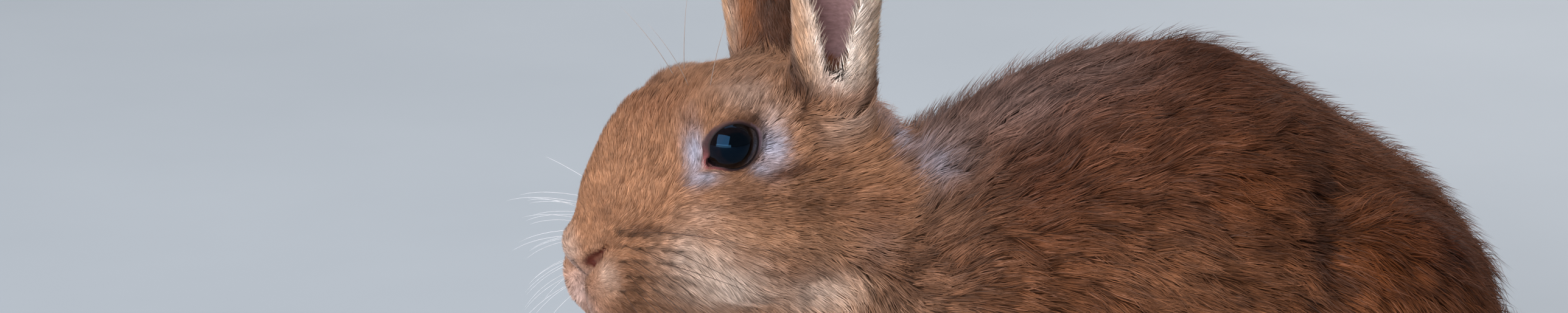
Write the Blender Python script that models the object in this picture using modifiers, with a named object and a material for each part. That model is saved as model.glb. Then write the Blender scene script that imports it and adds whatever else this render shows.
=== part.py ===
"""A crouching domestic rabbit, life size, as a still museum model.

The body is one soft form, blended from lofts and ellipsoids, that reaches out to the tips of the coat.
Thin cuts then part it into head, neck, trunk, tail and legs. The ears and the eyes are made on their own.

Lengths are in millimetres and are scaled to metres when a mesh is made. The rabbit faces -X, its left side
is -Y, and it stands on Z = 0. The head is modelled in its own frame, whose origin lies midway between
the eyes, and is then turned a little to the left.
"""

import math

import bmesh
import bpy
from mathutils import Euler, Matrix, Vector

MM = 0.001

# Head: where its frame stands on the body, and how far it turns to the left.
HEAD_PLACE = Vector((0.0, -6.0, 125.0))
HEAD_TURN = math.radians(10.0)

# Eyes, in the head's frame.
EYE_RADIUS = 8.3
EYE_OUT = 17.4
EYE_CLEARANCE = 0.3
EYE_SEGMENTS = 12

# Ears: the root is given in the head's frame for the left ear. The right ear stands a little forward of it.
EAR_ROOT = Vector((34.0, -14.5, 9.0))
RIGHT_EAR_FORWARD = 6.0
EAR_LENGTH = 97.0
EAR_SPAN = 63.0
EAR_TIP_SHARE = 0.985
EAR_TIP_WIDTH = 5.0
EAR_THICKNESS = 3.4
EAR_SPLAY = math.radians(13.0)
EAR_LEAN = {"left": math.radians(5.0), "right": math.radians(3.0)}
EAR_FACES_FORWARD = math.radians(22.0)
EAR_ACROSS, EAR_ALONG = 10, 11

# Paws: four toes each, side by side.
TOES = 4
FORE_TOE_STEP = 4.6
HIND_TOE_STEP = 5.2

# Thin cuts: how far each zone reaches past the limb that it parts off, the leaning planes before and behind
# the neck, and the gap that a cut leaves.
ZONE_MARGIN = 2.4
HEAD_CUT = Vector((47.0, -2.0, 98.0))
HEAD_LEAN = math.radians(34.0)
NECK_CUT = Vector((66.0, 0.0, 90.0))
NECK_LEAN = math.radians(26.0)
CUT = 0.5

# How the soft form is made: its cells, its smoothing, and how many facets are kept.
VOXEL = 1.6
SMOOTH_STEPS = 6
COARSE_TRIANGLES = 3200
ZONE_DETAIL = 0.022
RING = 28

# Colours of the coat and the eyes.
COLOURS = {
    "head": (0.40, 0.21, 0.12),
    "neck": (0.30, 0.18, 0.12),
    "trunk": (0.22, 0.11, 0.06),
    "tail": (0.45, 0.35, 0.28),
    "foreleg": (0.34, 0.18, 0.10),
    "hindleg": (0.24, 0.12, 0.06),
    "ear": (0.42, 0.25, 0.16),
    "eye": (0.010, 0.007, 0.006),
}
COAT_ROUGHNESS = 0.85
EYE_ROUGHNESS = 0.08

HEAD_FRAME = Matrix.Translation(HEAD_PLACE) @ Matrix.Rotation(HEAD_TURN, 4, "Z")


# ---------------------------------------------------------------- small tools


def new_collection(name, hidden=False):
    made = bpy.data.collections.new(name)
    bpy.context.scene.collection.children.link(made)
    made.hide_render = hidden
    return made


def plain_material(name, colour, roughness):
    made = bpy.data.materials.new(name)
    made.use_nodes = True
    shader = made.node_tree.nodes["Principled BSDF"]
    shader.inputs["Base Color"].default_value = (*colour, 1.0)
    shader.inputs["Roughness"].default_value = roughness
    shader.inputs["Metallic"].default_value = 0.0
    return made


def object_from(bm, name, frame=None):
    """An object from bm, whose points are in millimetres in the given frame."""
    bmesh.ops.transform(bm, matrix=Matrix.Scale(MM, 4) @ (frame or Matrix.Identity(4)), verts=bm.verts)
    mesh = bpy.data.meshes.new(name)
    bm.to_mesh(mesh)
    bm.free()
    made = bpy.data.objects.new(name, mesh)
    helpers.objects.link(made)
    return made


def applied(source, name):
    """A new object with the source's modifiers applied. The source is removed."""
    graph = bpy.context.evaluated_depsgraph_get()
    mesh = bpy.data.meshes.new_from_object(source.evaluated_get(graph), depsgraph=graph)
    made = bpy.data.objects.new(name, mesh)
    helpers.objects.link(made)
    bpy.data.objects.remove(source)
    return made


def copy_of(source, name):
    made = bpy.data.objects.new(name, source.data.copy())
    helpers.objects.link(made)
    return made


def joined(pieces, name):
    """One object that holds the meshes of all the pieces, which are removed."""
    bm = bmesh.new()
    for piece in pieces:
        bm.from_mesh(piece.data)
        bpy.data.objects.remove(piece)
    mesh = bpy.data.meshes.new(name)
    bm.to_mesh(mesh)
    bm.free()
    made = bpy.data.objects.new(name, mesh)
    helpers.objects.link(made)
    return made


def boolean(target, operation, other):
    modifier = target.modifiers.new(operation.title(), "BOOLEAN")
    modifier.operation = operation
    modifier.object = other
    return target


def swollen(source, by):
    """A larger copy, whose surface stands this many millimetres further out."""
    made = copy_of(source, source.name)
    swell = made.modifiers.new("Grow", "DISPLACE")
    swell.direction = "NORMAL"
    swell.mid_level = 0.0
    swell.strength = by * MM
    return applied(made, source.name)


# ---------------------------------------------------------------- shapes


def ellipsoid(centre, radii, tilt=(0.0, 0.0, 0.0), frame=None, segments=24):
    """An ellipsoid whose radii lie along X, Y and Z before it is tilted, in degrees."""
    bm = bmesh.new()
    turn = Euler([math.radians(a) for a in tilt]).to_matrix().to_4x4()
    place = Matrix.Translation(centre) @ turn @ Matrix.Diagonal((*radii, 1.0))
    bmesh.ops.create_uvsphere(bm, u_segments=segments, v_segments=segments * 2 // 3, radius=1.0, matrix=place)
    return object_from(bm, "ellipsoid", frame)


def both_sides(centre, radii, tilt=(0.0, 0.0, 0.0), frame=None):
    """The same ellipsoid on the left and on the right."""
    x, y, z = centre
    roll, pitch, yaw = tilt
    return [
        ellipsoid((x, side * y, z), radii, (side * roll, pitch, side * yaw), frame) for side in (-1, 1)
    ]


def smooth_between(values, t):
    """A value read from evenly numbered values by a Catmull-Rom curve."""
    last = len(values) - 1
    i = min(int(t), last - 1)
    f = t - i
    before, here, after, beyond = (values[max(0, min(last, k))] for k in (i - 1, i, i + 1, i + 2))
    slope_here, slope_after = (after - before) / 2, (beyond - here) / 2
    return (
        here * (2 * f**3 - 3 * f**2 + 1)
        + slope_here * (f**3 - 2 * f**2 + f)
        + after * (3 * f**2 - 2 * f**3)
        + slope_after * (f**3 - f**2)
    )


def loft(stations, steps, square=2.0, frame=None):
    """A closed body along X. A station is its X, top, bottom, half width and the height of its widest point.

    Each section is a superellipse, with an upper and a lower half that meet at the widest point.
    """
    bm = bmesh.new()
    columns = list(zip(*stations))
    rings = []
    count = steps * (len(stations) - 1)
    for k in range(count + 1):
        x, top, bottom, half_width, middle = (smooth_between(c, k / steps) for c in columns)
        ring = []
        for j in range(RING):
            angle = 2 * math.pi * j / RING
            c, s = math.cos(angle), math.sin(angle)
            across = math.copysign(abs(c) ** (2 / square), c) * half_width
            upright = math.copysign(abs(s) ** (2 / square), s)
            height = upright * ((top - middle) if s > 0 else (middle - bottom))
            ring.append(bm.verts.new((x, across, middle + height)))
        rings.append(ring)
    for near, far in zip(rings, rings[1:]):
        for j in range(RING):
            bm.faces.new((near[j], near[(j + 1) % RING], far[(j + 1) % RING], far[j]))
    bm.faces.new(reversed(rings[0]))
    bm.faces.new(rings[-1])
    bmesh.ops.recalc_face_normals(bm, faces=bm.faces)
    return object_from(bm, "loft", frame)


def limb(points):
    """A limb as overlapping balls from joint to joint. A point is X, Y, Z and the radius there."""
    balls = []
    for (*start, r0), (*end, r1) in zip(points, points[1:]):
        start, end = Vector(start), Vector(end)
        count = max(2, round((end - start).length / 4))
        for k in range(count + 1):
            t = k / count
            radius = r0 + (r1 - r0) * t
            balls.append(ellipsoid(start.lerp(end, t), (radius,) * 3))
    return balls


def toes(tip, radii, step, set_back, fan):
    """A row of toes side by side across the paw. The outer ones are set back and fan out."""
    x, y, z = tip
    row = []
    for toe in range(TOES):
        place = toe - (TOES - 1) / 2
        row.append(ellipsoid((x + abs(place) * set_back, y + place * step, z), radii, (0, 0, -fan * place)))
    return row


# ---------------------------------------------------------------- the body's forms


def head_forms():
    # X, top, bottom, half width, height of the widest point: from the nose back to the nape.
    skull = loft(
        (
            (-36.5, -24.0, -44.0, 7.0, -34.0),
            (-34.0, -11.0, -49.0, 11.0, -34.0),
            (-29.0, -1.0, -53.0, 13.0, -34.0),
            (-20.0, 8.5, -56.0, 16.5, -30.0),
            (-8.0, 15.5, -57.0, 21.0, -22.0),
            (8.0, 18.5, -57.0, 25.0, -18.0),
            (24.0, 17.0, -55.0, 26.5, -18.0),
            (38.0, 11.5, -51.0, 26.5, -18.0),
            (50.0, 3.5, -45.0, 23.0, -20.0),
            (60.0, -7.0, -40.0, 16.0, -22.0),
        ),
        steps=4,
        frame=HEAD_FRAME,
    )
    head = [skull]
    head += both_sides((-29.0, 7.5, -40.0), (9.5, 8.5, 11.0), frame=HEAD_FRAME)  # whisker pads
    head += [ellipsoid((-33.5, 0.0, -30.0), (6.5, 9.0, 8.0), frame=HEAD_FRAME)]  # nose
    head += [ellipsoid((-22.0, 0.0, -51.0), (10.0, 9.5, 7.5), frame=HEAD_FRAME)]  # chin
    head += both_sides((12.0, 17.0, -28.0), (23.0, 13.5, 21.0), frame=HEAD_FRAME)  # cheeks
    head += both_sides((1.0, 14.5, 3.0), (15.0, 8.5, 12.5), frame=HEAD_FRAME)  # brow over the eyes
    head += both_sides((33.0, 13.5, 5.0), (14.0, 12.0, 17.0), frame=HEAD_FRAME)  # roots of the ears
    return head


def trunk_forms():
    # X, top, bottom, half width, height of the widest point: from the breast back to the rump.
    barrel = loft(
        (
            (30.0, 96.0, 44.0, 20.0, 70.0),
            (48.0, 113.0, 29.0, 34.0, 70.0),
            (66.0, 119.5, 23.0, 42.5, 69.0),
            (88.0, 132.0, 20.0, 47.0, 68.0),
            (112.0, 139.5, 14.0, 51.0, 64.0),
            (144.0, 141.0, 8.0, 53.5, 60.0),
            (162.0, 133.0, 7.0, 50.0, 57.0),
            (190.0, 114.0, 9.0, 45.0, 54.0),
            (212.0, 96.0, 14.0, 37.0, 50.0),
            (230.0, 72.0, 24.0, 20.0, 46.0),
        ),
        steps=4,
    )
    return [barrel]


def neck_forms():
    return [
        ellipsoid((44.0, -2.0, 92.0), (27.0, 29.0, 31.0)),
        ellipsoid((38.0, -2.0, 75.0), (26.0, 27.0, 31.0)),
        ellipsoid((27.0, -3.0, 62.0), (22.0, 23.0, 23.0)),
    ]


def tail_forms():
    return [ellipsoid((232.0, 0.0, 36.0), (13.0, 14.0, 23.0), (0.0, -18.0, 0.0))]


def foreleg_forms(side):
    arm = [ellipsoid((76.0, side * 33.0, 62.0), (25.0, 15.0, 34.0), (0.0, 12.0, 0.0))]
    arm += limb(
        (
            (88.0, side * 34.0, 38.0, 15.0),
            (70.0, side * 28.0, 23.0, 11.5),
            (56.0, side * 24.0, 11.0, 9.5),
        )
    )
    arm += [ellipsoid((46.0, side * 23.0, 7.0), (17.0, 10.0, 8.5))]
    arm += toes((32.0, side * 23.0, 4.5), (7.5, 2.9, 5.2), FORE_TOE_STEP, set_back=1.6, fan=7)
    return arm


def hindleg_forms(side):
    leg = [
        ellipsoid((182.0, side * 34.0, 57.0), (40.0, 25.5, 45.0), (0.0, 10.0, 0.0)),  # thigh
        ellipsoid((146.0, side * 41.0, 43.0), (34.0, 17.0, 31.0), (0.0, 25.0, 0.0)),  # knee
        ellipsoid((198.0, side * 41.0, 17.0), (19.0, 13.0, 16.0)),  # heel
    ]
    leg += limb(((196.0, side * 43.0, 8.0, 11.0), (138.0, side * 47.0, 7.0, 10.5)))
    leg += toes((123.0, side * 47.5, 5.0), (10.5, 3.3, 6.0), HIND_TOE_STEP, set_back=2.4, fan=5)
    return leg


# ---------------------------------------------------------------- from forms to solids


def blended(forms, name):
    """The forms as one closed soft mesh."""
    made = joined(forms, name)
    remesh = made.modifiers.new("Blend", "REMESH")
    remesh.mode = "VOXEL"
    remesh.voxel_size = VOXEL * MM
    smooth = made.modifiers.new("Soften", "SMOOTH")
    smooth.iterations = SMOOTH_STEPS
    smooth.factor = 0.5
    return applied(made, name)


def coarser(fine, name, triangles):
    """The same form with about this many triangles."""
    facets = fine.modifiers.new("Facets", "DECIMATE")
    facets.ratio = triangles / sum(len(p.vertices) - 2 for p in fine.data.polygons)
    facets.use_collapse_triangulate = True
    return applied(fine, name)


def grown(forms, name):
    """The zone round some forms, a little larger than they are."""
    made = joined(forms, name)
    swell = made.modifiers.new("Grow", "DISPLACE")
    swell.direction = "NORMAL"
    swell.mid_level = 0.0
    swell.strength = ZONE_MARGIN * MM
    made = blended([applied(made, name)], name)
    facets = made.modifiers.new("Facets", "DECIMATE")
    facets.ratio = ZONE_DETAIL
    return applied(made, name)


def in_front_of(point, lean, turn, name):
    """The zone in front of a leaning plane, as a big block."""
    size = 400.0
    bm = bmesh.new()
    bmesh.ops.create_cube(bm, size=size)
    bmesh.ops.translate(bm, verts=bm.verts, vec=(-size / 2, 0, 0))
    turned = Matrix.Rotation(turn, 4, "Z") @ Matrix.Rotation(lean, 4, "Y")
    return object_from(bm, name, Matrix.Translation(point) @ turned)


def largest_body(source):
    """Drops the crumbs that a cut leaves beside the piece itself."""
    bm = bmesh.new()
    bm.from_mesh(source.data)
    left = set(bm.verts)
    bodies = []
    while left:
        body, edge = set(), [next(iter(left))]
        while edge:
            v = edge.pop()
            if v in left:
                left.discard(v)
                body.add(v)
                edge += [e.other_vert(v) for e in v.link_edges]
        bodies.append(body)
    largest = max(bodies, key=len)
    bmesh.ops.delete(bm, geom=[v for v in bm.verts if v not in largest], context="VERTS")
    bm.to_mesh(source.data)
    bm.free()
    return source


def parted(body, zone, name):
    """Cuts the piece inside a zone out of the body. Returns the piece and the rest, a thin gap apart."""
    wider = swollen(zone, CUT)
    piece = largest_body(applied(boolean(copy_of(body, name), "INTERSECT", zone), name))
    rest = largest_body(applied(boolean(body, "DIFFERENCE", wider), "rest"))
    return piece, rest


# ---------------------------------------------------------------- the ears and the eyes


def ear_span(v):
    """The ear's width when it is laid flat, in millimetres, at a share v of its length."""
    return EAR_SPAN * (1.0 - v**2.2) ** 0.75


def ear_curl(v):
    """The angle that the ear's section turns through: nearly a tube at the root, an open leaf at the tip."""
    return 1.7 + 4.3 * math.exp(-((v / 0.66) ** 2.4))


def ear_sheet():
    """The left ear's shell as an open curved sheet, upright on its root, in millimetres."""
    bm = bmesh.new()
    back = Vector((math.sin(EAR_FACES_FORWARD), math.cos(EAR_FACES_FORWARD), 0.0))
    rim = Vector((-back.y, back.x, 0.0))
    rows = []
    for i in range(EAR_ALONG + 1):
        v = (i / EAR_ALONG) ** 0.9 * EAR_TIP_SHARE
        curl = ear_curl(v)
        radius = max(ear_span(v), EAR_TIP_WIDTH) / curl
        depth_middle = radius * (1 + math.cos(curl / 2)) / 2
        row = []
        for j in range(EAR_ACROSS + 1):
            angle = curl * (j / EAR_ACROSS - 0.5)
            across = back * (radius * math.cos(angle) - depth_middle) + rim * radius * math.sin(angle)
            row.append(bm.verts.new(across + Vector((0, 0, v * EAR_LENGTH))))
        rows.append(row)
    for low, high in zip(rows, rows[1:]):
        for j in range(EAR_ACROSS):
            bm.faces.new((low[j], low[j + 1], high[j + 1], high[j]))
    return bm


def ear(word, name):
    """The shell of one ear, set on the head. word says which side it is on."""
    lean = Matrix.Rotation(-EAR_LEAN[word], 4, "Y")
    place = Matrix.Translation(EAR_ROOT) @ lean @ Matrix.Rotation(EAR_SPLAY, 4, "X")
    if word == "right":
        mirror = Matrix.Diagonal((1, -1, 1, 1))
        place = Matrix.Translation((-RIGHT_EAR_FORWARD, 0, 0)) @ mirror @ place
    shell = object_from(ear_sheet(), name, HEAD_FRAME @ place)
    thick = shell.modifiers.new("Shell", "SOLIDIFY")
    thick.thickness = EAR_THICKNESS * MM
    thick.offset = 0.0
    shell = applied(shell, name)
    bm = bmesh.new()
    bm.from_mesh(shell.data)
    bmesh.ops.recalc_face_normals(bm, faces=bm.faces)
    bm.to_mesh(shell.data)
    bm.free()
    return shell


def eyeball(side, radius, name):
    return ellipsoid((0.0, side * EYE_OUT, 0.0), (radius,) * 3, frame=HEAD_FRAME, segments=EYE_SEGMENTS)


# ---------------------------------------------------------------- the rabbit


def floor_block():
    bm = bmesh.new()
    bmesh.ops.create_cube(bm, size=1.0)
    bmesh.ops.scale(bm, verts=bm.verts, vec=(600, 400, 100))
    bmesh.ops.translate(bm, verts=bm.verts, vec=(100, 0, -50))
    return object_from(bm, "floor_block")


def make_nodes():
    """All the solids of the rabbit, by node name."""
    sides = {"left": -1, "right": 1}
    forms = trunk_forms() + head_forms() + neck_forms() + tail_forms()
    for side in sides.values():
        forms += foreleg_forms(side) + hindleg_forms(side)
    body = coarser(blended(forms, "body"), "body", COARSE_TRIANGLES)
    body = applied(boolean(body, "DIFFERENCE", floor_block()), "body")

    nodes = {}
    for word, side in sides.items():
        for limb_name, make in (("foreleg", foreleg_forms), ("hindleg", hindleg_forms)):
            name = f"{limb_name}_{word}"
            nodes[name], body = parted(body, grown(make(side), "zone"), name)
    nodes["tail"], body = parted(body, grown(tail_forms(), "zone"), "tail")
    head, body = parted(body, in_front_of(HEAD_CUT, HEAD_LEAN, HEAD_TURN / 2, "zone"), "head")
    nodes["neck"], nodes["trunk"] = parted(body, in_front_of(NECK_CUT, NECK_LEAN, 0.0, "zone"), "neck")

    for word in sides:
        name = f"ear_{word}"
        nodes[name] = largest_body(applied(boolean(ear(word, name), "DIFFERENCE", swollen(head, CUT)), name))
    for word, side in sides.items():
        socket = eyeball(side, EYE_RADIUS + EYE_CLEARANCE, "socket")
        head = applied(boolean(head, "DIFFERENCE", socket), "head")
        nodes[f"eye_{word}"] = eyeball(side, EYE_RADIUS, f"eye_{word}")
    nodes["head"] = head
    return nodes


def finish(nodes):
    """Names, colours and shades the solids, and sets them on their own base under one empty."""
    for name, node in nodes.items():
        part = name.split("_")[0]
        node.name = name
        node.data.name = name
        node.data.materials.clear()
        roughness = EYE_ROUGHNESS if part == "eye" else COAT_ROUGHNESS
        node.data.materials.append(plain_material(name, COLOURS[part], roughness))
        node.data.shade_smooth()
        node.data.set_sharp_from_angle(angle=math.radians(35))
        helpers.objects.unlink(node)
        rabbit.objects.link(node)
    points = [v.co for node in nodes.values() for v in node.data.vertices]
    low = Vector(min(p[k] for p in points) for k in range(3))
    high = Vector(max(p[k] for p in points) for k in range(3))
    base = bpy.data.objects.new("rabbit_base", None)
    rabbit.objects.link(base)
    base.location = (-(low.x + high.x) / 2, -(low.y + high.y) / 2, -low.z)
    for node in nodes.values():
        node.parent = base


for leftover in list(bpy.data.objects):
    bpy.data.objects.remove(leftover)
helpers = new_collection("helpers", hidden=True)
rabbit = new_collection("rabbit")
finish(make_nodes())
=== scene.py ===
"""A crouching domestic rabbit, life size: its skin, coat, eyes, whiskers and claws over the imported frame.

Lengths are in millimetres in the part's own places, and turn into the frame's metres when a mesh is made.
The rabbit faces -X, its left side is -Y, and it rests on Z = 0. A place on the head is also given as
(p, s, z), from the point between the eyes: forward, to the rabbit's left, and up. Where a size is given for
one side only, the other side is its mirror image.
"""

import math

import bmesh
import bpy
import numpy as np
from mathutils import Matrix, Vector
from mathutils.bvhtree import BVHTree
from mathutils.kdtree import KDTree


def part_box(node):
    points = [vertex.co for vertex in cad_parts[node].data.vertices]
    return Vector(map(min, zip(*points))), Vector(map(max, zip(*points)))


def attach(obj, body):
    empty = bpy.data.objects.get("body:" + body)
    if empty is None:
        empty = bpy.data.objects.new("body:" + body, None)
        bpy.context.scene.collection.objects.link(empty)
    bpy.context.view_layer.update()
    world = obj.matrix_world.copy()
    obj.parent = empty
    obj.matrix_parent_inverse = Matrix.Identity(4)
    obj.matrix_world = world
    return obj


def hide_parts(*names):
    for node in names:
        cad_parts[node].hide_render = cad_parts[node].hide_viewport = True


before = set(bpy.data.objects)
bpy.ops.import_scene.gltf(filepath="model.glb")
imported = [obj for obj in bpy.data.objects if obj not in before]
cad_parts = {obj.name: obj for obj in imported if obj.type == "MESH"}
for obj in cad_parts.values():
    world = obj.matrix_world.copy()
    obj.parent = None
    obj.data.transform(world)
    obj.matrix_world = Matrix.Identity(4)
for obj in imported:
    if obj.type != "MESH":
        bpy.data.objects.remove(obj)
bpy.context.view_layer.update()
rng = np.random.default_rng(11)

MM = 0.001

# The reach of a mark along an axis that it takes no account of.
ANY = np.inf

# The nodes that the skin covers, and which way each side of the rabbit lies from its middle.
FLESH = (
    "head", "neck", "trunk", "tail", "foreleg_left", "foreleg_right",
    "hindleg_left", "hindleg_right", "ear_left", "ear_right",
)  # fmt: skip
SIDES = {"left": 1.0, "right": -1.0}

# The point between the eyes in the part's own places, and what the source says of its ears. The ear's shape
# is the same above the tip's share of its height.
EYES = np.array((0.0, -6.0, 125.0))
EAR_ROOT = Vector((34.0, -14.5, 9.0))
RIGHT_EAR_FORWARD = 6.0
EAR_LENGTH = 97.0
EAR_SPAN = 63.0
EAR_TIP_SHARE = 0.985
EAR_TIP_WIDTH = 5.0
EAR_SPLAY = math.radians(13.0)
EAR_LEAN = {"left": math.radians(5.0), "right": math.radians(3.0)}
EAR_FACES_FORWARD = math.radians(22.0)

# The skin: the voxels that join the flesh, how far each node is swollen first to close the thin cuts, and
# how many times it is smoothed, with the share that each time takes on thin parts, the muzzle and the rest.
VOXEL = 1.5
SWELL = 0.6
SMOOTH_STEPS = 26
THIN_SHARE, MUZZLE_SHARE, SMOOTH_SHARE = 0.12, 0.08, 0.5

# The coat by node: how deep it is over the skin, and how long, wide and dense its tufts are. The head's row
# is for the nose. From there each size changes by an amount between two places along the head.
COAT_KINDS = ("depth", "length", "width", "density")
COAT_SIZES = {
    "head": (0.8, 1.5, 0.17, 6.2),
    "neck": (5.0, 11.0, 0.30, 2.7),
    "trunk": (5.0, 12.5, 0.33, 2.05),
    "tail": (5.0, 12.0, 0.34, 2.0),
    "foreleg": (3.6, 9.5, 0.32, 1.9),
    "hindleg": (5.0, 12.0, 0.33, 2.05),
    "ear": (1.0, 4.6, 0.24, 3.6),
}
HEAD_CHANGES = {
    "depth": ((33, 22, 0.7), (20, 2, 1.3), (-8, -38, 2.0)),
    "length": ((36, 20, 1.5), (20, -2, 1.6), (-6, -42, 5.5)),
    "width": ((34, 18, 0.06), (4, -40, 0.07)),
    "density": ((22, 34, 5.0), (0, -36, -3.2)),
}
PAW_DEPTH, PAW_LENGTH, PAW_WIDTH, PAW_TOP = 1.5, 4.0, 0.3, 18.0
BELLY_DEPTH = 3.0

FLOOR_GAP = 0.4
SKIN_SHADE = 0.92

# The eyeball, on the head, and how far aside a place must be to count as beside the eye. Then the opening of
# its lids: half its length and height, how far its front corner reaches, and which way that corner lies, up
# from straight ahead, and the same of the rear corner.
EYE_RADIUS = 8.3
EYE_AT = np.array((-1.3, 17.4, -0.5))
EYE_SIDE = 8.0
LID_LONG, LID_HIGH = 7.3, 6.5
LID_CORNER, LID_CORNER_WAY = 1.9, math.radians(-37.0)
LID_REAR, LID_REAR_WAY = 0.5, math.radians(160.0)

# Grooves on the muzzle, on the head's left side: the nostril, the cleft of the lip and the mouth.
NOSTRIL = (
    (31.6, 10.2, -29.2), (33.4, 9.0, -31.4), (35.1, 7.4, -33.6), (36.2, 5.6, -36.2), (36.0, 4.0, -38.4),
)  # fmt: skip
MOUTH = ((34.0, 2.0, -51.5), (31.0, 8.0, -51.0), (24.0, 11.5, -50.5), (17.0, 13.0, -50.0))
NOSTRIL_DEEP = 3.2
MOUTH_DEEP, MOUTH_WIDE = 1.7, 1.1
CLEFT_TOP, CLEFT_DEEP, CLEFT_WIDE = -38.0, 4.6, 4.6

# Where the head is fuller or flatter than its solids: the place (p, s, z), its reach, and by how much.
FILLS = (
    ((19, 0, 8), (8, 12, 7), 2.4),
    ((26, 0, 1), (6, 12, 6), 1.1),
    ((34, 0, -21), (4, 8, 4), -0.7),
    ((39, 0, -30), (4, 8, 5), 1.4),
    ((31, 0, -51), (6, 9, 6), 3.6),
    ((-56.5, 6, 0), (6, 13, 8), 4.3),
    ((7, 15, 12), (4, 5, 3), -0.4),
)


# ---------------- places


def unit(vectors):
    return vectors / (np.linalg.norm(vectors, axis=-1, keepdims=True) + 1e-12)


def middle(node):
    low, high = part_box(node)
    return np.array((low + high) / 2)


UP = np.array((0.0, 0.0, 1.0))
LEFT = unit(middle("eye_left") - middle("eye_right"))
FORWARD = unit(np.cross(LEFT, UP))
ORIGIN = (middle("eye_left") + middle("eye_right")) / 2 / MM - EYES


def to_part(world):
    return np.asarray(world) / MM - ORIGIN


def to_world(points):
    return (np.asarray(points) + ORIGIN) * MM


def on_head(points):
    """Places of the part as (p, s, z) on the head."""
    off = points - EYES
    return np.stack((off @ FORWARD, off @ LEFT, off[:, 2]), axis=1)


def mirrored(points):
    """The points on the head, all on its left side."""
    places = on_head(points)
    places[:, 1] = abs(places[:, 1])
    return places


def from_head(places, origin=EYES):
    """Places given as (p, s, z) as places of the part."""
    p, s, z = np.asarray(places).T[..., None]
    return origin + p * FORWARD + s * LEFT + z * UP


def way_from_head(ways):
    """Ways given as (p, s, z) as ways of the part."""
    return from_head(ways, 0.0)


def eased(low, high, values):
    """0 below low, 1 above high, and a smooth step between them."""
    share = np.clip((values - low) / (high - low), 0.0, 1.0)
    return share * share * (3 - 2 * share)


def mixed(first, second, share):
    """From first, where the share is 0, to second, where it is 1."""
    return first * (1 - share) + second * share


def near(points, place, reach):
    """1 at a place, falling off softly with the distance from it. reach has a length for each axis."""
    return np.exp(-(((points - np.asarray(place)) / np.asarray(reach)) ** 2).sum(axis=1))


def ripple(points, wave, seed):
    """A smooth pattern between about -1 and 1 that changes over lengths of about wave."""
    sway = np.random.default_rng(seed)
    total = np.zeros(len(points))
    for _ in range(7):
        way = unit(sway.normal(size=3)) * 2 * math.pi / (wave * sway.uniform(0.7, 1.5))
        total += np.sin(points @ way + sway.uniform(0, 2 * math.pi))
    return total / 3.2


# ---------------- meshes as arrays


def add_object(name, data):
    made = bpy.data.objects.new(name, data)
    bpy.context.scene.collection.objects.link(made)
    return made


def turn_to(made, way, axis="-Z"):
    """Turns an object so that one of its axes points a way."""
    made.rotation_euler = Vector(way).to_track_quat(axis, "Y").to_euler()


def finished(piece, material):
    """A piece with its material, riding on the body."""
    piece.data.materials.append(material)
    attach(piece, "root")


def read(items, field, width, kind=np.float32):
    """A field of a mesh's items as an array with this many columns."""
    values = np.empty(len(items) * width, dtype=kind)
    items.foreach_get(field, values)
    return values.reshape(-1, width).astype(np.float64 if kind is np.float32 else np.int64)


def make_mesh(name, points, triangles, colours=None, uvs=None):
    """An object from arrays: points in millimetres, a colour for each point, a UV for each corner."""
    mesh = bpy.data.meshes.new(name)
    count = len(triangles)
    mesh.vertices.add(len(points))
    mesh.vertices.foreach_set("co", to_world(points).astype(np.float32).ravel())
    mesh.loops.add(count * 3)
    mesh.loops.foreach_set("vertex_index", triangles.astype(np.int32).ravel())
    mesh.polygons.add(count)
    mesh.polygons.foreach_set("loop_start", np.arange(0, count * 3, 3, dtype=np.int32))
    mesh.polygons.foreach_set("use_smooth", np.ones(count, dtype=bool))
    if uvs is not None:
        mesh.uv_layers.new(name="OFBake").data.foreach_set("uv", uvs.astype(np.float32).ravel())
    if colours is not None:
        solid = np.ones((len(points), 4), dtype=np.float32)
        solid[:, :3] = colours
        layer = mesh.color_attributes.new("Coat", "FLOAT_COLOR", "POINT")
        layer.data.foreach_set("color", solid.ravel())
    mesh.update(calc_edges=True)
    mesh.validate()
    return add_object(name, mesh)


def normals_of(points, faces):
    """A normal for each point of a mesh of quads or triangles."""
    corners = points[faces]
    first, second = (0, 1) if faces.shape[1] == 4 else (0, 0)
    across = np.cross(corners[:, -2] - corners[:, first], corners[:, -1] - corners[:, second])
    total = np.zeros_like(points)
    for corner in faces.T:
        for axis in range(3):
            total[:, axis] += np.bincount(corner, across[:, axis], len(points))
    return unit(total)


def edges_of(faces):
    pairs = np.concatenate([faces[:, [k, (k + 1) % faces.shape[1]]] for k in range(faces.shape[1])])
    return np.unique(np.sort(pairs, axis=1), axis=0)


def spread(values, edges, steps, share=0.5):
    """Evens values out between neighbours. share may differ from point to point."""
    values = np.array(values, dtype=float)
    flat = values.reshape(len(values), -1)
    first, second = edges.T
    degree = np.bincount(first, minlength=len(flat)) + np.bincount(second, minlength=len(flat))
    degree = np.maximum(degree, 1)
    share = np.broadcast_to(share, len(flat))[:, None]
    for _ in range(steps):
        total = np.empty_like(flat)
        for k, column in enumerate(flat.T):
            total[:, k] = np.bincount(first, column[second], len(flat))
            total[:, k] += np.bincount(second, column[first], len(flat))
        flat = flat + share * (total / degree[:, None] - flat)
    return flat.reshape(values.shape)


# Two ways to split quads into triangles, with the same or the opposite face outwards.
SPLIT, FLIPPED = [0, 1, 2, 0, 2, 3], [0, 3, 2, 0, 2, 1]


def split(quads, corners=SPLIT):
    """Quads as triangles."""
    return quads[:, corners].reshape(-1, 3)


def ring_quads(rings, around):
    """The quads between closed rings of points that follow each other."""
    low = np.arange((rings - 1) * around).reshape(-1, around)
    beside = np.roll(low, -1, axis=1)
    return np.stack((low, beside, beside + around, low + around), axis=2).reshape(-1, 4)


def tree_of(points, triangles):
    return BVHTree.FromPolygons(points.tolist(), triangles.tolist(), all_triangles=True)


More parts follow.
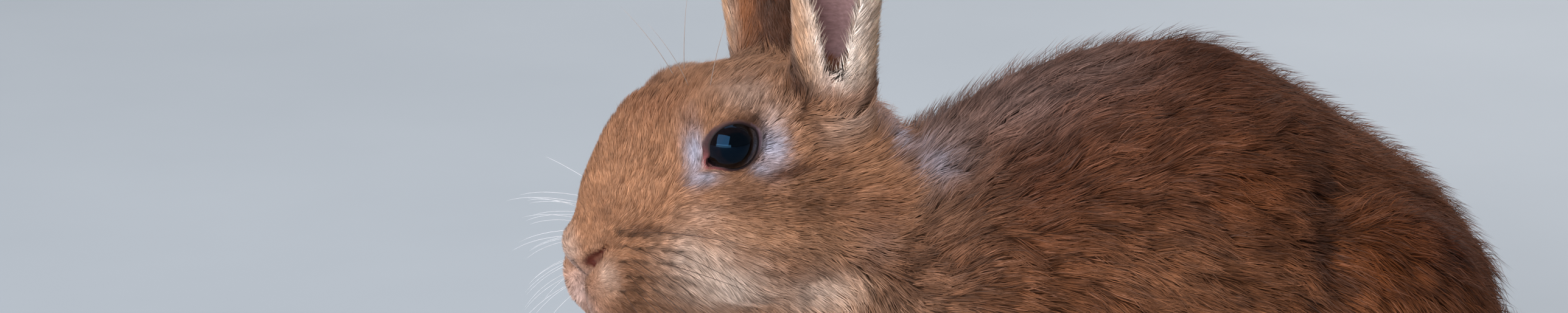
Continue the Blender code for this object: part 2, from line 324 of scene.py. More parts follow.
def nearest(places, points):
    """Which of the places is nearest to each point."""
    tree = KDTree(len(places))
    for index, place in enumerate(places.tolist()):
        tree.insert(place, index)
    tree.balance()
    return np.array([tree.find(p)[1] for p in points.tolist()])


def beside_head(tree, side, p, z):
    """The place on the skin at (p, z) on one side of the head, found from well outside it."""
    start = from_head((p, 45.0 * side, z))
    return np.array(tree.ray_cast(Vector(start), Vector(-side * LEFT))[0])


# ---------------- the skin


def belongs(labels, word):
    """Whether each label is a node with this word in its name."""
    return np.array([word in name for name in FLESH])[labels]


def coat_size(kind, labels, p):
    """One of the coat's sizes at each point, from its node and how far forward on the head it is."""
    column = COAT_KINDS.index(kind)
    sizes = np.array([COAT_SIZES[name.split("_")[0]][column] for name in FLESH])[labels]
    for start, end, change in HEAD_CHANGES[kind]:
        sizes = sizes + change * eased(start, end, p) * belongs(labels, "head")
    return sizes


def node_part(name):
    """A CAD node's points and triangles, with points that share a place made one."""
    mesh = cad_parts[name].data
    mesh.calc_loop_triangles()
    points = to_part(read(mesh.vertices, "co", 3))
    triangles = read(mesh.loop_triangles, "vertices", 3, np.int32)
    _, first, same = np.unique(np.round(points, 3), axis=0, return_index=True, return_inverse=True)
    return points[first], same.reshape(-1)[triangles]


def joined(parts):
    """Parts as one: the points, the triangles, and which part each triangle is from."""
    starts = np.cumsum([0] + [len(own) for own, _ in parts])
    triangles = [faces + start for (_, faces), start in zip(parts, starts)]
    labels = np.repeat(np.arange(len(parts)), [len(faces) for faces in triangles])
    return np.concatenate([own for own, _ in parts]), np.concatenate(triangles), labels


def blended_flesh(parts):
    """One closed mesh of quads round all the flesh and the eyes, as points and faces."""
    lump = make_mesh("flesh", *joined(parts)[:2])
    swell = lump.modifiers.new("Swell", "DISPLACE")
    swell.strength = SWELL * MM
    swell.mid_level = 0.0
    cells = lump.modifiers.new("Cells", "REMESH")
    cells.mode = "VOXEL"
    cells.voxel_size = VOXEL * MM
    result = lump.evaluated_get(bpy.context.evaluated_depsgraph_get())
    mesh = result.to_mesh()
    points = to_part(read(mesh.vertices, "co", 3))
    quads = read(mesh.loops, "vertex_index", 1, np.int32).reshape(-1, 4)
    result.to_mesh_clear()
    bpy.data.objects.remove(lump)
    return points, quads


def ear_place(word):
    """Where one ear stands, as a matrix from the ear's own places to the part's."""
    head = Matrix.Translation(EYES) @ Matrix((-FORWARD, -LEFT, UP)).transposed().to_4x4()
    lean = Matrix.Rotation(-EAR_LEAN[word], 4, "Y")
    place = Matrix.Translation(EAR_ROOT) @ lean @ Matrix.Rotation(EAR_SPLAY, 4, "X")
    if word == "right":
        mirror = Matrix.Diagonal((1, -1, 1, 1))
        place = Matrix.Translation((-RIGHT_EAR_FORWARD, 0, 0)) @ mirror @ place
    return np.array(head @ place)


def ear_curl(up):
    """How far round an ear's sheet curls at a share of its height, in radians."""
    return 1.7 + 4.3 * np.exp(-((up / 0.66) ** 2.4))


def on_ear(points, word):
    """How far up one ear each place is, from 0 to 1, how far round it from the middle of its back (0) to
    its front rim (1) or rear rim (-1), and how far out from the sheet's middle, in millimetres."""
    back_way = np.array((math.sin(EAR_FACES_FORWARD), math.cos(EAR_FACES_FORWARD), 0.0))
    front_way = np.array((-back_way[1], back_way[0], 0.0))
    inverse = np.linalg.inv(ear_place(word))
    local = points @ inverse[:3, :3].T + inverse[:3, 3]
    up = np.clip(local[:, 2] / EAR_LENGTH, 0.0, EAR_TIP_SHARE)
    span = np.maximum(EAR_SPAN * (1.0 - up**2.2) ** 0.75, EAR_TIP_WIDTH)
    curl = ear_curl(up)
    radius = span / curl
    depth = local @ back_way + radius * (1 + np.cos(curl / 2)) / 2
    width = local @ front_way
    return local[:, 2] / EAR_LENGTH, np.arctan2(width, depth) / (curl / 2), np.hypot(width, depth) - radius


def round_ear(up, around):
    """The ways towards the front rim and out of the back at each place of an ear, in its own places."""
    angle = around * ear_curl(np.clip(up, 0, 1)) / 2 + EAR_FACES_FORWARD
    level = np.zeros_like(angle)
    forward = np.stack((-np.cos(angle), np.sin(angle), level), axis=1)
    out = np.stack((np.sin(angle), np.cos(angle), level), axis=1)
    return forward, out


def coat_depth(points, labels):
    """How far the skin lies inside the solids at each point."""
    places = mirrored(points)
    at_eye = near(places, EYE_AT, (13, ANY, 13)) * (places[:, 1] > EYE_SIDE) * belongs(labels, "head")
    depth = coat_size("depth", labels, places[:, 0]) - 0.9 * at_eye
    legs = belongs(labels, "leg")
    paws = eased(26.0, 12.0, points[:, 2]) * legs
    belly = eased(24.0, 10.0, points[:, 2]) * ~legs
    return mixed(mixed(depth, PAW_DEPTH, paws), BELLY_DEPTH, belly)


def smooth_skin():
    """The skin in plain quads: the joined flesh, smoothed and drawn in by the coat's depth. Also returns
    which node each point belongs to, and the coat's true depth over it."""
    parts = [node_part(name) for name in FLESH]
    solid_points, solid_triangles, solid_labels = joined(parts)
    solid_tree = tree_of(solid_points, solid_triangles)
    points, quads = blended_flesh(parts + [node_part("eye_left"), node_part("eye_right")])
    edges = edges_of(quads)
    outer_tree = tree_of(points, split(quads))

    labels = solid_labels[[solid_tree.find_nearest(p)[2] for p in points.tolist()]]
    thin = belongs(labels, "ear") | (belongs(labels, "leg") & (points[:, 2] < 22))
    muzzle = belongs(labels, "head") & (on_head(points)[:, 0] > 14)
    share = np.where(thin, THIN_SHARE, np.where(muzzle, MUZZLE_SHARE, SMOOTH_SHARE))
    points = spread(points, edges, SMOOTH_STEPS, spread(share, edges, 6))

    wanted = spread(coat_depth(points, labels), edges, 10)
    normals = unit(spread(normals_of(points, quads), edges, 3))
    points = points - normals * (wanted + SWELL)[:, None]
    points = spread(points, edges, 3, np.where(thin, 0.1, 0.4))

    normals = normals_of(points, quads)
    hits = [outer_tree.ray_cast(p, n, 25.0)[3] for p, n in zip(points.tolist(), normals.tolist())]
    reach = np.array([SWELL + deep if hit is None else hit for hit, deep in zip(hits, wanted)]) - SWELL
    depth = spread(np.clip(reach, 0.6 * wanted, wanted + 4.0), edges, 4)
    return points, quads, labels, depth


def refined(points, quads, labels, depth, wanted, levels):
    """The mesh as triangles, with the wanted points' faces cut finer."""
    mesh = bpy.data.meshes.new("fine")
    mesh.from_pydata(points.tolist(), [], quads.tolist())
    bm = bmesh.new()
    bm.from_mesh(mesh)
    bpy.data.meshes.remove(mesh)
    bm.verts.ensure_lookup_table()
    chosen = {bm.verts[i] for i in np.nonzero(wanted)[0].tolist()}
    for _ in range(levels):
        faces = [f for f in bm.faces if all(v in chosen for v in f.verts)]
        edges = list({e for f in faces for e in f.edges})
        made = bmesh.ops.subdivide_edges(bm, edges=edges, cuts=1, use_grid_fill=True)
        chosen |= {v for v in made["geom_inner"] if isinstance(v, bmesh.types.BMVert)}
    bmesh.ops.triangulate(bm, faces=bm.faces)
    bm.verts.index_update()
    fine = np.array([v.co[:] for v in bm.verts])
    triangles = np.array([[v.index for v in f.verts] for f in bm.faces])
    bm.free()
    source = nearest(points, fine)
    return fine, triangles, labels[source], depth[source]


def gap_to_line(places, line):
    """How far each place is from a line of points, and how far along the line its nearest place is."""
    line = np.array(line)
    best = np.full(len(places), 1e9)
    along = np.zeros(len(places))
    for index, (start, end) in enumerate(zip(line, line[1:])):
        way = end - start
        share = np.clip(((places - start) @ way) / (way @ way), 0.0, 1.0)
        gap = np.linalg.norm(places - start - share[:, None] * way, axis=1)
        along = np.where(gap < best, (index + share) / (len(line) - 1), along)
        best = np.minimum(gap, best)
    return best, along


def in_nostril(places):
    """How far each place is from the nostril's line, as a share of its width, which tapers upwards."""
    gap, along = gap_to_line(places, NOSTRIL)
    return gap / (0.75 + 1.6 * np.sin(np.pi * np.clip(along, 0, 1) ** 1.4))


def carved(points, normals):
    """The muzzle's grooves pressed into the skin: nostrils, the cleft of the lip and the mouth."""
    places = mirrored(points)
    nostril = NOSTRIL_DEEP * np.exp(-(in_nostril(places) ** 3) * 0.7)
    mouth = MOUTH_DEEP * np.exp(-((gap_to_line(places, MOUTH)[0] / MOUTH_WIDE) ** 2))
    points = points - normals * np.maximum(nostril, mouth)[:, None]
    p, s, z = places.T
    cleft = CLEFT_DEEP * np.exp(-((s / CLEFT_WIDE) ** 2))
    cleft = cleft * eased(CLEFT_TOP + 3, CLEFT_TOP - 4, z) * eased(24, 33, p)
    return points - FORWARD * cleft[:, None]


def filled(points, normals, labels):
    """The skin pressed out or in at the places named in FILLS."""
    places = mirrored(points)
    out = sum(near(places, place, reach) * size for place, reach, size in FILLS)
    return points + normals * (out * ~belongs(labels, "ear"))[:, None]


# ---------------- eyes and lids


def lid_opening(angles):
    """How far the lids' edge is from the eye's middle, at angles up from straight ahead."""
    ellipse = 1 / np.sqrt((np.cos(angles) / LID_LONG) ** 2 + (np.sin(angles) / LID_HIGH) ** 2)
    front = (angles - LID_CORNER_WAY + np.pi) % (2 * np.pi) - np.pi
    rear = (angles - LID_REAR_WAY + np.pi) % (2 * np.pi) - np.pi
    return ellipse + LID_CORNER * np.exp(-((front / 0.24) ** 2)) + LID_REAR * np.exp(-((rear / 0.3) ** 2))


def beside_eye(points):
    """How far each place is outside the lids' edge, measured square to the eye's axis, and its angle."""
    ahead, _, up = (mirrored(points) - EYE_AT).T
    angles = np.arctan2(up, ahead)
    return np.hypot(ahead, up) - lid_opening(angles), angles


# The lids' rings: how far each is outside the lids' edge, and how high it stands over the ball.
LID_STEPS = (-0.9, -0.3, 0.0, 0.35, 0.8, 1.3, 1.9, 2.6, 3.4, 4.2, 5.0, 5.8, 6.5)
LID_RISES = (-0.7, -0.1, 0.35, 0.6, 0.62) + (0.6,) * 8
LID_SEGMENTS = 96


def lid_patch(side, tree):
    """Both lids of one eye as a ring of skin: it hugs the ball at its edge and runs out into the face."""
    angles = np.arange(LID_SEGMENTS) / LID_SEGMENTS * 2 * np.pi
    rings = []
    for step, rise in zip(LID_STEPS, LID_RISES):
        radius = lid_opening(angles) + step
        ahead, up = EYE_AT[0] + radius * np.cos(angles), EYE_AT[2] + radius * np.sin(angles)
        over_ball = EYE_AT[1] + np.sqrt(np.maximum(EYE_RADIUS**2 - radius**2, 2.2**2)) + rise
        hits = np.array([beside_head(tree, side, p, z) for p, z in zip(ahead, up)])
        on_face = abs(on_head(hits)[:, 1]) - 0.5 * eased(5.0, 6.5, step)
        share = eased(0.8, 5.2, step)
        out = mixed(over_ball, on_face, share)
        rings.append(from_head(np.stack((ahead, out * side, up), axis=1)))
    triangles = split(ring_quads(len(rings), LID_SEGMENTS), FLIPPED)
    return np.concatenate(rings), triangles if side < 0 else triangles[:, ::-1]


def sunk_round_eyes(points):
    """The skin drawn in behind the lids, so that it stays out of the eyeballs."""
    places = on_head(points)
    outside, _ = beside_eye(points)
    near_eye = (abs(places[:, 1]) > EYE_SIDE) & (outside < 6.0)
    drop = 3.4 * eased(4.6, 2.4, outside) * near_eye
    places[:, 1] -= np.sign(places[:, 1]) * drop
    return from_head(places)


# The eyeball's rings and spokes, and how far its cornea stands out and reaches round from the axis.
EYE_RINGS, EYE_SPOKES = 40, 64
CORNEA_RISE, CORNEA_REACH = 0.45, math.radians(52)


def make_eye(word, side, material):
    """One eyeball, with its cornea standing a little proud. Its own Z axis looks out of the eye."""
    rows = []
    for ring in range(EYE_RINGS + 1):
        angle = math.pi * ring / EYE_RINGS
        size = EYE_RADIUS + CORNEA_RISE * max(0.0, 1 - (angle / CORNEA_REACH) ** 2)
        flat = size * math.sin(angle)
        for spoke in range(EYE_SPOKES):
            turn = 2 * math.pi * spoke / EYE_SPOKES
            rows.append((flat * math.cos(turn), flat * math.sin(turn), size * math.cos(angle)))
    faces = ring_quads(EYE_RINGS + 1, EYE_SPOKES)[:, [0, 3, 2, 1]]
    mesh = bpy.data.meshes.new("eyeball_" + word)
    mesh.from_pydata((np.array(rows) * MM).tolist(), [], faces.tolist())
    mesh.shade_smooth()
    made = add_object("eyeball_" + word, mesh)
    out = unit(LEFT * side + 0.10 * FORWARD + 0.03 * UP)
    turn_to(made, out, "Z")
    made.location = to_world(from_head(EYE_AT * (1, side, 1)))
    finished(made, material)
    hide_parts("eye_" + word)


# ---------------- materials


def new_material(name, roughness, specular):
    made = bpy.data.materials.new(name)
    made.use_nodes = True
    shader = made.node_tree.nodes["Principled BSDF"]
    shader.inputs["Specular IOR Level"].default_value = specular
    shader.inputs["Roughness"].default_value = roughness
    return made, made.node_tree, shader


def noise(tree, scale, detail=4.0, stretch=(1.0, 1.0, 1.0)):
    where = tree.nodes.new("ShaderNodeTexCoord")
    mapping = tree.nodes.new("ShaderNodeMapping")
    mapping.inputs["Scale"].default_value = stretch
    tree.links.new(where.outputs["Object"], mapping.inputs["Vector"])
    texture = tree.nodes.new("ShaderNodeTexNoise")
    texture.inputs["Scale"].default_value = scale
    texture.inputs["Detail"].default_value = detail
    tree.links.new(mapping.outputs["Vector"], texture.inputs["Vector"])
    return texture.outputs["Fac"]


def ramp(tree, value, stops):
    made = tree.nodes.new("ShaderNodeValToRGB")
    elements = made.color_ramp.elements
    while len(elements) < len(stops):
        elements.new(0.5)
    for element, (place, colour) in zip(elements, stops):
        element.position = place
        element.color = (*colour, 1.0)
    tree.links.new(value, made.inputs["Fac"])
    return made.outputs["Color"]


def multiplied(tree, first, second):
    mix = tree.nodes.new("ShaderNodeMix")
    mix.data_type = "RGBA"
    mix.blend_type = "MULTIPLY"
    mix.inputs["Factor"].default_value = 1.0
    tree.links.new(first, mix.inputs["A"])
    tree.links.new(second, mix.inputs["B"])
    return mix.outputs["Result"]


def roughened(tree, shader, value, low, high):
    """Links the roughness to a value, from low to high."""
    made = tree.nodes.new("ShaderNodeMapRange")
    made.inputs["To Min"].default_value = low
    made.inputs["To Max"].default_value = high
    tree.links.new(value, made.inputs["Value"])
    tree.links.new(made.outputs["Result"], shader.inputs["Roughness"])


def coloured(tree, shader, grain, dark, pale):
    """Links the colour to the markings that a piece carries, varied by a grain from dark to pale."""
    marks = tree.nodes.new("ShaderNodeAttribute")
    marks.attribute_name = "Coat"
    shades = ramp(tree, grain, ((0.3, dark), (0.7, pale)))
    tree.links.new(multiplied(tree, marks.outputs["Color"], shades), shader.inputs["Base Color"])


def coat_material():
    """Hair: the markings that each tuft carries, finely varied, with a soft sheen."""
    made, tree, shader = new_material("coat", 0.6, 0.06)
    coloured(tree, shader, noise(tree, 420.0), (0.84, 0.82, 0.80), (1.14, 1.15, 1.16))
    roughened(tree, shader, noise(tree, 260.0), 0.5, 0.75)
    shader.inputs["Sheen Weight"].default_value = 0.012
    shader.inputs["Sheen Roughness"].default_value = 0.45
    return made


def skin_material():
    """The skin and the shortest fur on it: the same markings, with a fine nap as bump."""
    made, tree, shader = new_material("skin", 0.7, 0.2)
    nap = noise(tree, 1500.0, 3.0, (0.35, 1.0, 0.8))
    coloured(tree, shader, nap, (0.75, 0.74, 0.73), (1.1, 1.1, 1.1))
    roughened(tree, shader, nap, 0.5, 0.8)
    bump = tree.nodes.new("ShaderNodeBump")
    bump.inputs["Strength"].default_value = 0.5
    bump.inputs["Distance"].default_value = 0.0003
    tree.links.new(nap, bump.inputs["Height"])
    tree.links.new(bump.outputs["Normal"], shader.inputs["Normal"])
    return made


def plain_hair_material(name, roughness):
    """Stiff hair or horn: the colour that each piece carries, a little glossy."""
    made, tree, shader = new_material(name, roughness, 0.45)
    coloured(tree, shader, noise(tree, 700.0), (0.85, 0.85, 0.85), (1.1, 1.1, 1.1))
    roughened(tree, shader, noise(tree, 500.0), roughness - 0.1, roughness + 0.1)
    return made


# The eyeball's colours, by how far out they are from its axis, in centimetres.
PUPIL, IRIS = (0.001, 0.001, 0.001), (0.004, 0.002, 0.0015)
RIM, RIM_EDGE, EYE_WHITE = (0.002, 0.0015, 0.0015), (0.003, 0.002, 0.0025), (0.02, 0.012, 0.014)
EYE_HUES = (
    (0.0, PUPIL), (0.40, PUPIL), (0.46, IRIS), (0.66, IRIS),
    (0.72, RIM), (0.775, RIM_EDGE), (0.82, EYE_WHITE),
)  # fmt: skip


def eye_material():
    """A dark wet eye: black pupil, deep brown iris with fine spokes, dark rim, and paler at the far edge."""
    made, tree, shader = new_material("eyeball", 0.03, 0.22)
    flat = tree.nodes.new("ShaderNodeVectorMath")
    flat.operation = "MULTIPLY"
    flat.inputs[1].default_value = (0.1 / MM, 0.1 / MM, 0.0)
    tree.links.new(tree.nodes.new("ShaderNodeTexCoord").outputs["Object"], flat.inputs[0])
    size = tree.nodes.new("ShaderNodeVectorMath")
    size.operation = "LENGTH"
    tree.links.new(flat.outputs[0], size.inputs[0])
    spokes = ramp(tree, noise(tree, 900.0), ((0.3, (0.7, 0.7, 0.7)), (0.7, (1.3, 1.25, 1.2))))
    colour = multiplied(tree, ramp(tree, size.outputs["Value"], EYE_HUES), spokes)
    tree.links.new(colour, shader.inputs["Base Color"])
    roughened(tree, shader, noise(tree, 500.0), 0.02, 0.05)
    shader.inputs["Specular Tint"].default_value = (0.16, 0.50, 1.0, 1.0)
    return made


# ---------------- markings


def srgb(red, green, blue):
    """A linear colour from one written as 0 to 255."""
    values = np.array((red, green, blue)) / 255
    return np.where(values <= 0.04045, values / 12.92, ((values + 0.055) / 1.055) ** 2.4)


FAWN = srgb(166, 118, 87)
FOREHEAD = srgb(132, 86, 60)
SAND = srgb(168, 130, 104)
CREAM = srgb(184, 154, 138)
PALE = srgb(218, 192, 176)
WHITE = srgb(169, 166, 182)
LIP = srgb(190, 162, 154)
CROWN = srgb(142, 107, 86)
BROWN = srgb(90, 56, 38)
# Painted shade, for the grooves before the ears and the fold before the haunch.
GROOVE_SHADE = srgb(54, 28, 17)
RUFF = srgb(118, 90, 78)
RUST = srgb(124, 80, 56)
BACK = srgb(96, 57, 38)
BACK_GREY_AND_SHEEN = srgb(122, 99, 93)
# Grey-brown with a painted pale sheen, for the top of the back.
BACK_DARK = srgb(66, 36, 24)
FLANK = srgb(122, 79, 54)
HAUNCH = srgb(98, 50, 18)
# Dark brown, deepened by painted shade, for the rump.
DEEP_AND_SHADE = srgb(56, 16, 0)
BELLY = srgb(196, 180, 166)
PAW = srgb(172, 142, 118)
EAR_SKIN = srgb(172, 138, 138)
LID_SKIN = srgb(60, 38, 40)
LID_REAR_SKIN = srgb(120, 98, 108)
LID_CORNER_SKIN = srgb(150, 84, 84)
NOSTRIL_SKIN = srgb(72, 28, 18)
EAR_FOOT = srgb(162, 122, 100)
BROW_HAIR = srgb(170, 150, 140)
RIM_HAIR = srgb(214, 188, 170)
CLAW = srgb(92, 74, 66)
LIP_CLEFT = srgb(104, 58, 50)

# Marks on the head: the place (p, s, z), how far it reaches, its colour, and how strong it is.
HEAD_MARKS = (
    ((18, 8, 12), (12, 14, 9), FOREHEAD, 0.8),
    ((-14, 5, 19), (12, 8, 6), CROWN, 0.8),
    ((39, 0, -38), (5, 4.5, 7), LIP, 0.95),  # lips
    ((36, 0, -46), (7, 10.5, 8), LIP, 0.95),
    ((40, 0, -32), (3, 6, 8), PALE, 0.45),
    ((32.5, 13, -36), (3, 5, 5.5), PALE, 0.55),
    ((31, 12, -26), (5, 5, 2.5), BROWN, 0.45),
    ((30, 14, -45), (6, 7, 5), FOREHEAD, 0.25),
    ((31, 8, -18), (5, 7, 4), BROWN, 0.3),  # beside the bridge
    ((22, 15, -23), (5, 9, 3), BROWN, 0.65),  # above the whisker pad
    ((25, 15, -34), (8, 9, 8), FOREHEAD, 0.25),
    ((7, 20, -19), (6, 9, 4), CREAM, 0.35),
    ((8, 19, -33), (9, 12, 8), PALE, 0.75),  # cheek and jaw: pale hair, painted paler still against the shade below the jaw
    ((0, 22, -42), (12, 14, 9), PALE, 1.0),
    ((-27, 26, -44), (11, 14, 7), PALE, 0.85),
    ((-34, 28, -44), (9, 14, 6), SAND, 0.5),
    ((-16, 27, -35), (8, 9, 5), RUST, 0.55),
    ((-41, 30, -30), (6, 12, 7), RUFF, 0.8),
    ((-3, 22, -25), (9, 12, 5), SAND, 0.4),
    ((-21, 28, -31), (10, 12, 5), SAND, 0.3),
    ((-6, 22, -15.5), (9, 10, 4.5), BROWN, 0.75),  # below the eye
    ((-22, 27, -17), (12, 11, 7), BROWN, 0.5),
    ((-32, 27, -18), (3.5, 9, 7), BROWN, 0.5),
    ((-37, 31, -36), (9, 12, 3.5), BROWN, 0.65),  # ruff
    ((-44, 28, -20), (10, 12, 10), RUST, 0.7),
    ((-30, 25, -7), (8, 9, 5), RUST, 0.4),
    ((-38, 20, 5), (8, 9, 5), CREAM, 0.9),  # temple
    ((-31, 24, 0), (6, 9, 4), CREAM, 0.3),
    ((-16, 25, -9), (8, 8, 2), BROWN, 0.75),  # streak behind the eye
    ((-7, 15, 12), (8, 8, 5), CREAM, 0.75),  # above the eye
    ((-15, 20, 6), (5, 8, 6), CREAM, 0.7),
    ((0, 0, -62), (45, 30, 8), CREAM, 0.8),  # chin
)

# Smaller marks, on the lip and round the eye.
EYE_MARKS = (
    ((36, 0, -46), (7, 1.7, 8), LIP_CLEFT, 1.0),  # the cleft of the lip
    ((9.0, 20, -2.2), (2.3, 8, 7.0), WHITE, 1.0),
    ((6.0, 20, -9.4), (4, 8, 1.8), WHITE, 0.9),
    ((-12.8, 23, -1.6), (4.2, 9, 6.2), WHITE, 1.0),
    ((-9.0, 23, -7.6), (3, 9, 1.6), WHITE, 0.8),
    ((-1.5, 20, 6.9), (6.5, 9, 1.5), BROWN, 0.75),
    ((-8.3, 20, 4.8), (2.6, 9, 1.6), BROWN, 0.8),
    ((-15.5, 25, -9.4), (7.5, 9, 1.7), BROWN, 0.9),
)

# Marks that run over the head, ears and neck alike. The first four are painted shade down the groove before
# the ear.
OVER_MARKS = (
    ((-22.0, 14, 19.5), (3.0, 7, 5), GROOVE_SHADE, 0.9),  # painted shade in the groove before the ear
    ((-21.5, 17, 13.5), (3.2, 7, 5), GROOVE_SHADE, 0.9),
    ((-23.5, 21, 7.5), (2.6, 7, 5), GROOVE_SHADE, 0.85),
    ((-27, 23, 1), (2.4, 8, 4), BROWN, 0.8),
    ((-51, 15, 6), (4, 12, 6), WHITE, 0.85),  # nape
    ((-56, 15, -4), (4, 12, 6), WHITE, 0.85),
    ((-63, 17, -12), (5, 12, 4), WHITE, 0.7),
)

# Marks on the body: the place (X, distance from the middle, Z) and the same again. Among them are a painted
# sheen on the shoulders and painted shade on the rump and before the haunch.
BODY_MARKS = (
    ((60, 12, 116), (9, 14, 9), WHITE, 0.35),  # nape
    ((68, 10, 120), (12, 16, 10), BACK_GREY_AND_SHEEN, 0.9),  # shoulders: grey-brown, with a painted pale sheen
    ((88, 10, 130), (18, 20, 12), BACK_GREY_AND_SHEEN, 0.75),
    ((112, 10, 139), (20, 18, 10), BACK_GREY_AND_SHEEN, 0.6),
    ((146, 12, 138), (16, 18, 12), BACK_DARK, 0.7),  # top of the back
    ((90, 34, 110), (14, 16, 9), BACK_DARK, 0.5),
    ((50, 30, 92), (9, 14, 12), BACK, 0.5),  # throat side
    ((66, 38, 92), (14, 16, 12), BACK, 0.4),
    ((80, 46, 78), (14, 16, 12), FLANK, 0.6),  # shoulder
    ((124, 50, 84), (24, 20, 14), FLANK, 0.9),  # flank
    ((148, 48, 70), (12, 16, 16), FLANK, 0.5),
    ((150, 42, 108), (12, 16, 12), HAUNCH, 0.6),
    ((185, 50, 88), (12, 20, 18), HAUNCH, 0.9),  # haunch
    ((208, 38, 88), (16, 26, 24), DEEP_AND_SHADE, 0.75),  # rump: dark brown, deepened by painted shade
    ((228, 20, 70), (14, 24, 24), DEEP_AND_SHADE, 0.6),
    ((172, 34, 104), (4, 20, 9), GROOVE_SHADE * 0.5, 0.8),  # painted shade in the fold before the haunch, where the coat parts
    ((168.5, 40, 92), (4.5, 22, 9), GROOVE_SHADE * 0.45, 0.9),
    ((168, 48, 79), (4.5, 18, 9), GROOVE_SHADE * 0.5, 0.85),
    ((120, 20, 8), (70, 30, 12), BELLY, 0.9),  # belly
    ((36, 5, 50), (18, 26, 26), SAND, 0.7),  # chest
    ((234, 10, 26), (10, 12, 18), BELLY, 0.5),  # under the tail
    ((36, 23, 6), (16, 14, 9), PAW, 0.7),  # paws
    ((128, 47, 6), (22, 14, 8), PAW, 0.7),
)

# The colour round an ear's outside, from its rear rim (-1) past the middle of its back (0) to its front rim.
# The rear flap's pale colours are painted paler still, as painted light against the shade that flap stands
# in.
EAR_ROUND_WITH_PAINTED_LIGHT = (
    (-1.0, srgb(246, 228, 216)),
    (-0.86, srgb(244, 218, 200)),
    (-0.7, srgb(240, 208, 182)),
    (-0.56, srgb(222, 176, 138)),
    (-0.45, srgb(150, 100, 66)),
    (-0.3, srgb(82, 50, 34)),
    (0.26, srgb(84, 50, 32)),
    (0.36, srgb(112, 66, 38)),
    (0.48, srgb(140, 88, 56)),
    (0.6, srgb(172, 140, 120)),
    (0.68, srgb(184, 138, 106)),
    (0.84, srgb(200, 160, 132)),
    (0.93, srgb(208, 178, 158)),
    (1.0, srgb(214, 194, 184)),
)

# The whisker pad's rows and columns, and how far its roots stray from them. Then the whiskers of each side:
# the columns that have them, how far forward and up they lie, and their colour.
PAD_ROWS, PAD_COLUMNS, PAD_STRAY = 5, 5, 0.4
WHISKERS = {
    "left": ((0, 1, 3), -0.3, 0.20, srgb(84, 56, 42)),
    "right": (range(PAD_COLUMNS), 1.15, 0.36, srgb(224, 222, 226)),
}

# How many long hairs each ear's rims have.
RIM_HAIRS = 520

# Where the toes are, as the source has them: the middle of the row's tips, their step and their set-back.
TOE_ROWS = (((25.5, 23.0), 4.6, 1.6), ((114.0, 47.5), 5.2, 2.4))


def marked(colours, places, marks):
    """The colours with each of the marks laid over them in turn."""
    for place, reach, colour, strength in marks:
        colours = mixed(colours, colour, near(places, place, reach)[:, None] * strength)
    return colours


def pad_roots():
    """Where the whiskers of the left pad grow, as (p, z), in rows from the top."""
    own = np.random.default_rng(7)
    roots = []
    for row in range(PAD_ROWS):
        for column in range(PAD_COLUMNS):
            p = 28.6 - 3.5 * column - 1.5 * (row % 2) + own.normal(0, PAD_STRAY)
            z = -24.5 - 4.1 * row - 0.3 * column + own.normal(0, PAD_STRAY)
            roots.append((p, z))
    return roots


def node_shares(labels, edges):
    """How far each point is of the head and of each ear, from 0 to 1, softly."""
    skull = spread(belongs(labels, "head"), edges, 12)
    ears = [spread(belongs(labels, "ear_" + word), edges, 2) for word in SIDES]
    return np.stack([skull] + ears, axis=1)


def head_colours(close, wander):
    """The head's markings, with a dark dot at the root of each whisker."""
    colours = marked(np.tile(FAWN, (len(close), 1)), close + wander, HEAD_MARKS)
    colours = marked(colours, close + wander * 0.35, EYE_MARKS)
    for p, z in pad_roots():
        dot = near(close, (p, 0, z), (1.1, ANY, 0.6)) * (close[:, 1] > 4)
        colours = colours * (1 - 0.75 * dot[:, None])
    return colours


def body_colours(points, wander):
    """The body's markings, with a painted sheen on the shoulders and painted shade on the rump and before the
    haunch, over brown that darkens towards the back and pales towards the chest.
    """
    body = mixed(FLANK * 0.6 + HAUNCH * 0.4, BACK, eased(60.0, 130.0, points[:, 2])[:, None])
    body = mixed(body, BACK * 0.5 + SAND * 0.3, eased(96.0, 56.0, points[:, 0])[:, None])
    return marked(body, abs(points + wander * 1.6), BODY_MARKS)


def ear_colours(points, word):
    """The colours round one ear's outside, with painted light on its rear flap, and browner rims at its foot.
    """
    up, around, _ = on_ear(points, word)
    around = around + 0.03 * ripple(points, 5.0, 4)
    stops, hues = zip(*EAR_ROUND_WITH_PAINTED_LIGHT)
    colours = np.stack([np.interp(around, stops, hue) for hue in np.transpose(hues)], axis=1)
    low = eased(0.16, 0.04, up) * eased(0.3, 0.5, abs(around))
    return mixed(colours, EAR_FOOT, low[:, None])


def furred_colours(points, shares):
    """The coat's colour at each point, from formulas alone, with its painted light and shade."""
    wander = np.stack([ripple(points, 9.0, seed) for seed in (1, 2, 3)], axis=1) * 1.2
    close = mirrored(points)
    skull, *ears = shares.T[..., None]
    colours = mixed(body_colours(points, wander), head_colours(close, wander), skull)
    for word, share in zip(SIDES, ears):
        colours = mixed(colours, ear_colours(points, word), share)
    colours = marked(colours, close + wander, OVER_MARKS)
    stretched = points * (0.5, 1.0, 1.0)
    patches = 0.15 * ripple(stretched, 5.0, 9) + 0.10 * ripple(stretched, 15.0, 10)
    colours = colours * (1 + patches[:, None] * (1 - 0.35 * skull)) ** (1.0, 1.1, 1.16)
    # Darker along the partings: the darker undercoat that shows there, and painted shade in them.
    return colours * (1 - 0.4 * parting(points)[:, None] * (1 - 0.5 * skull))


def parting(points):
    """Where the coat parts: winding narrow lines along the way the hair lies, from 0 to 1."""
    stretched = (points + 2.0 * ripple(points, 8.0, 21)[:, None]) * (0.4, 1.0, 1.0)
    return np.exp(-((ripple(stretched, 7.0, 20) / 0.12) ** 2))


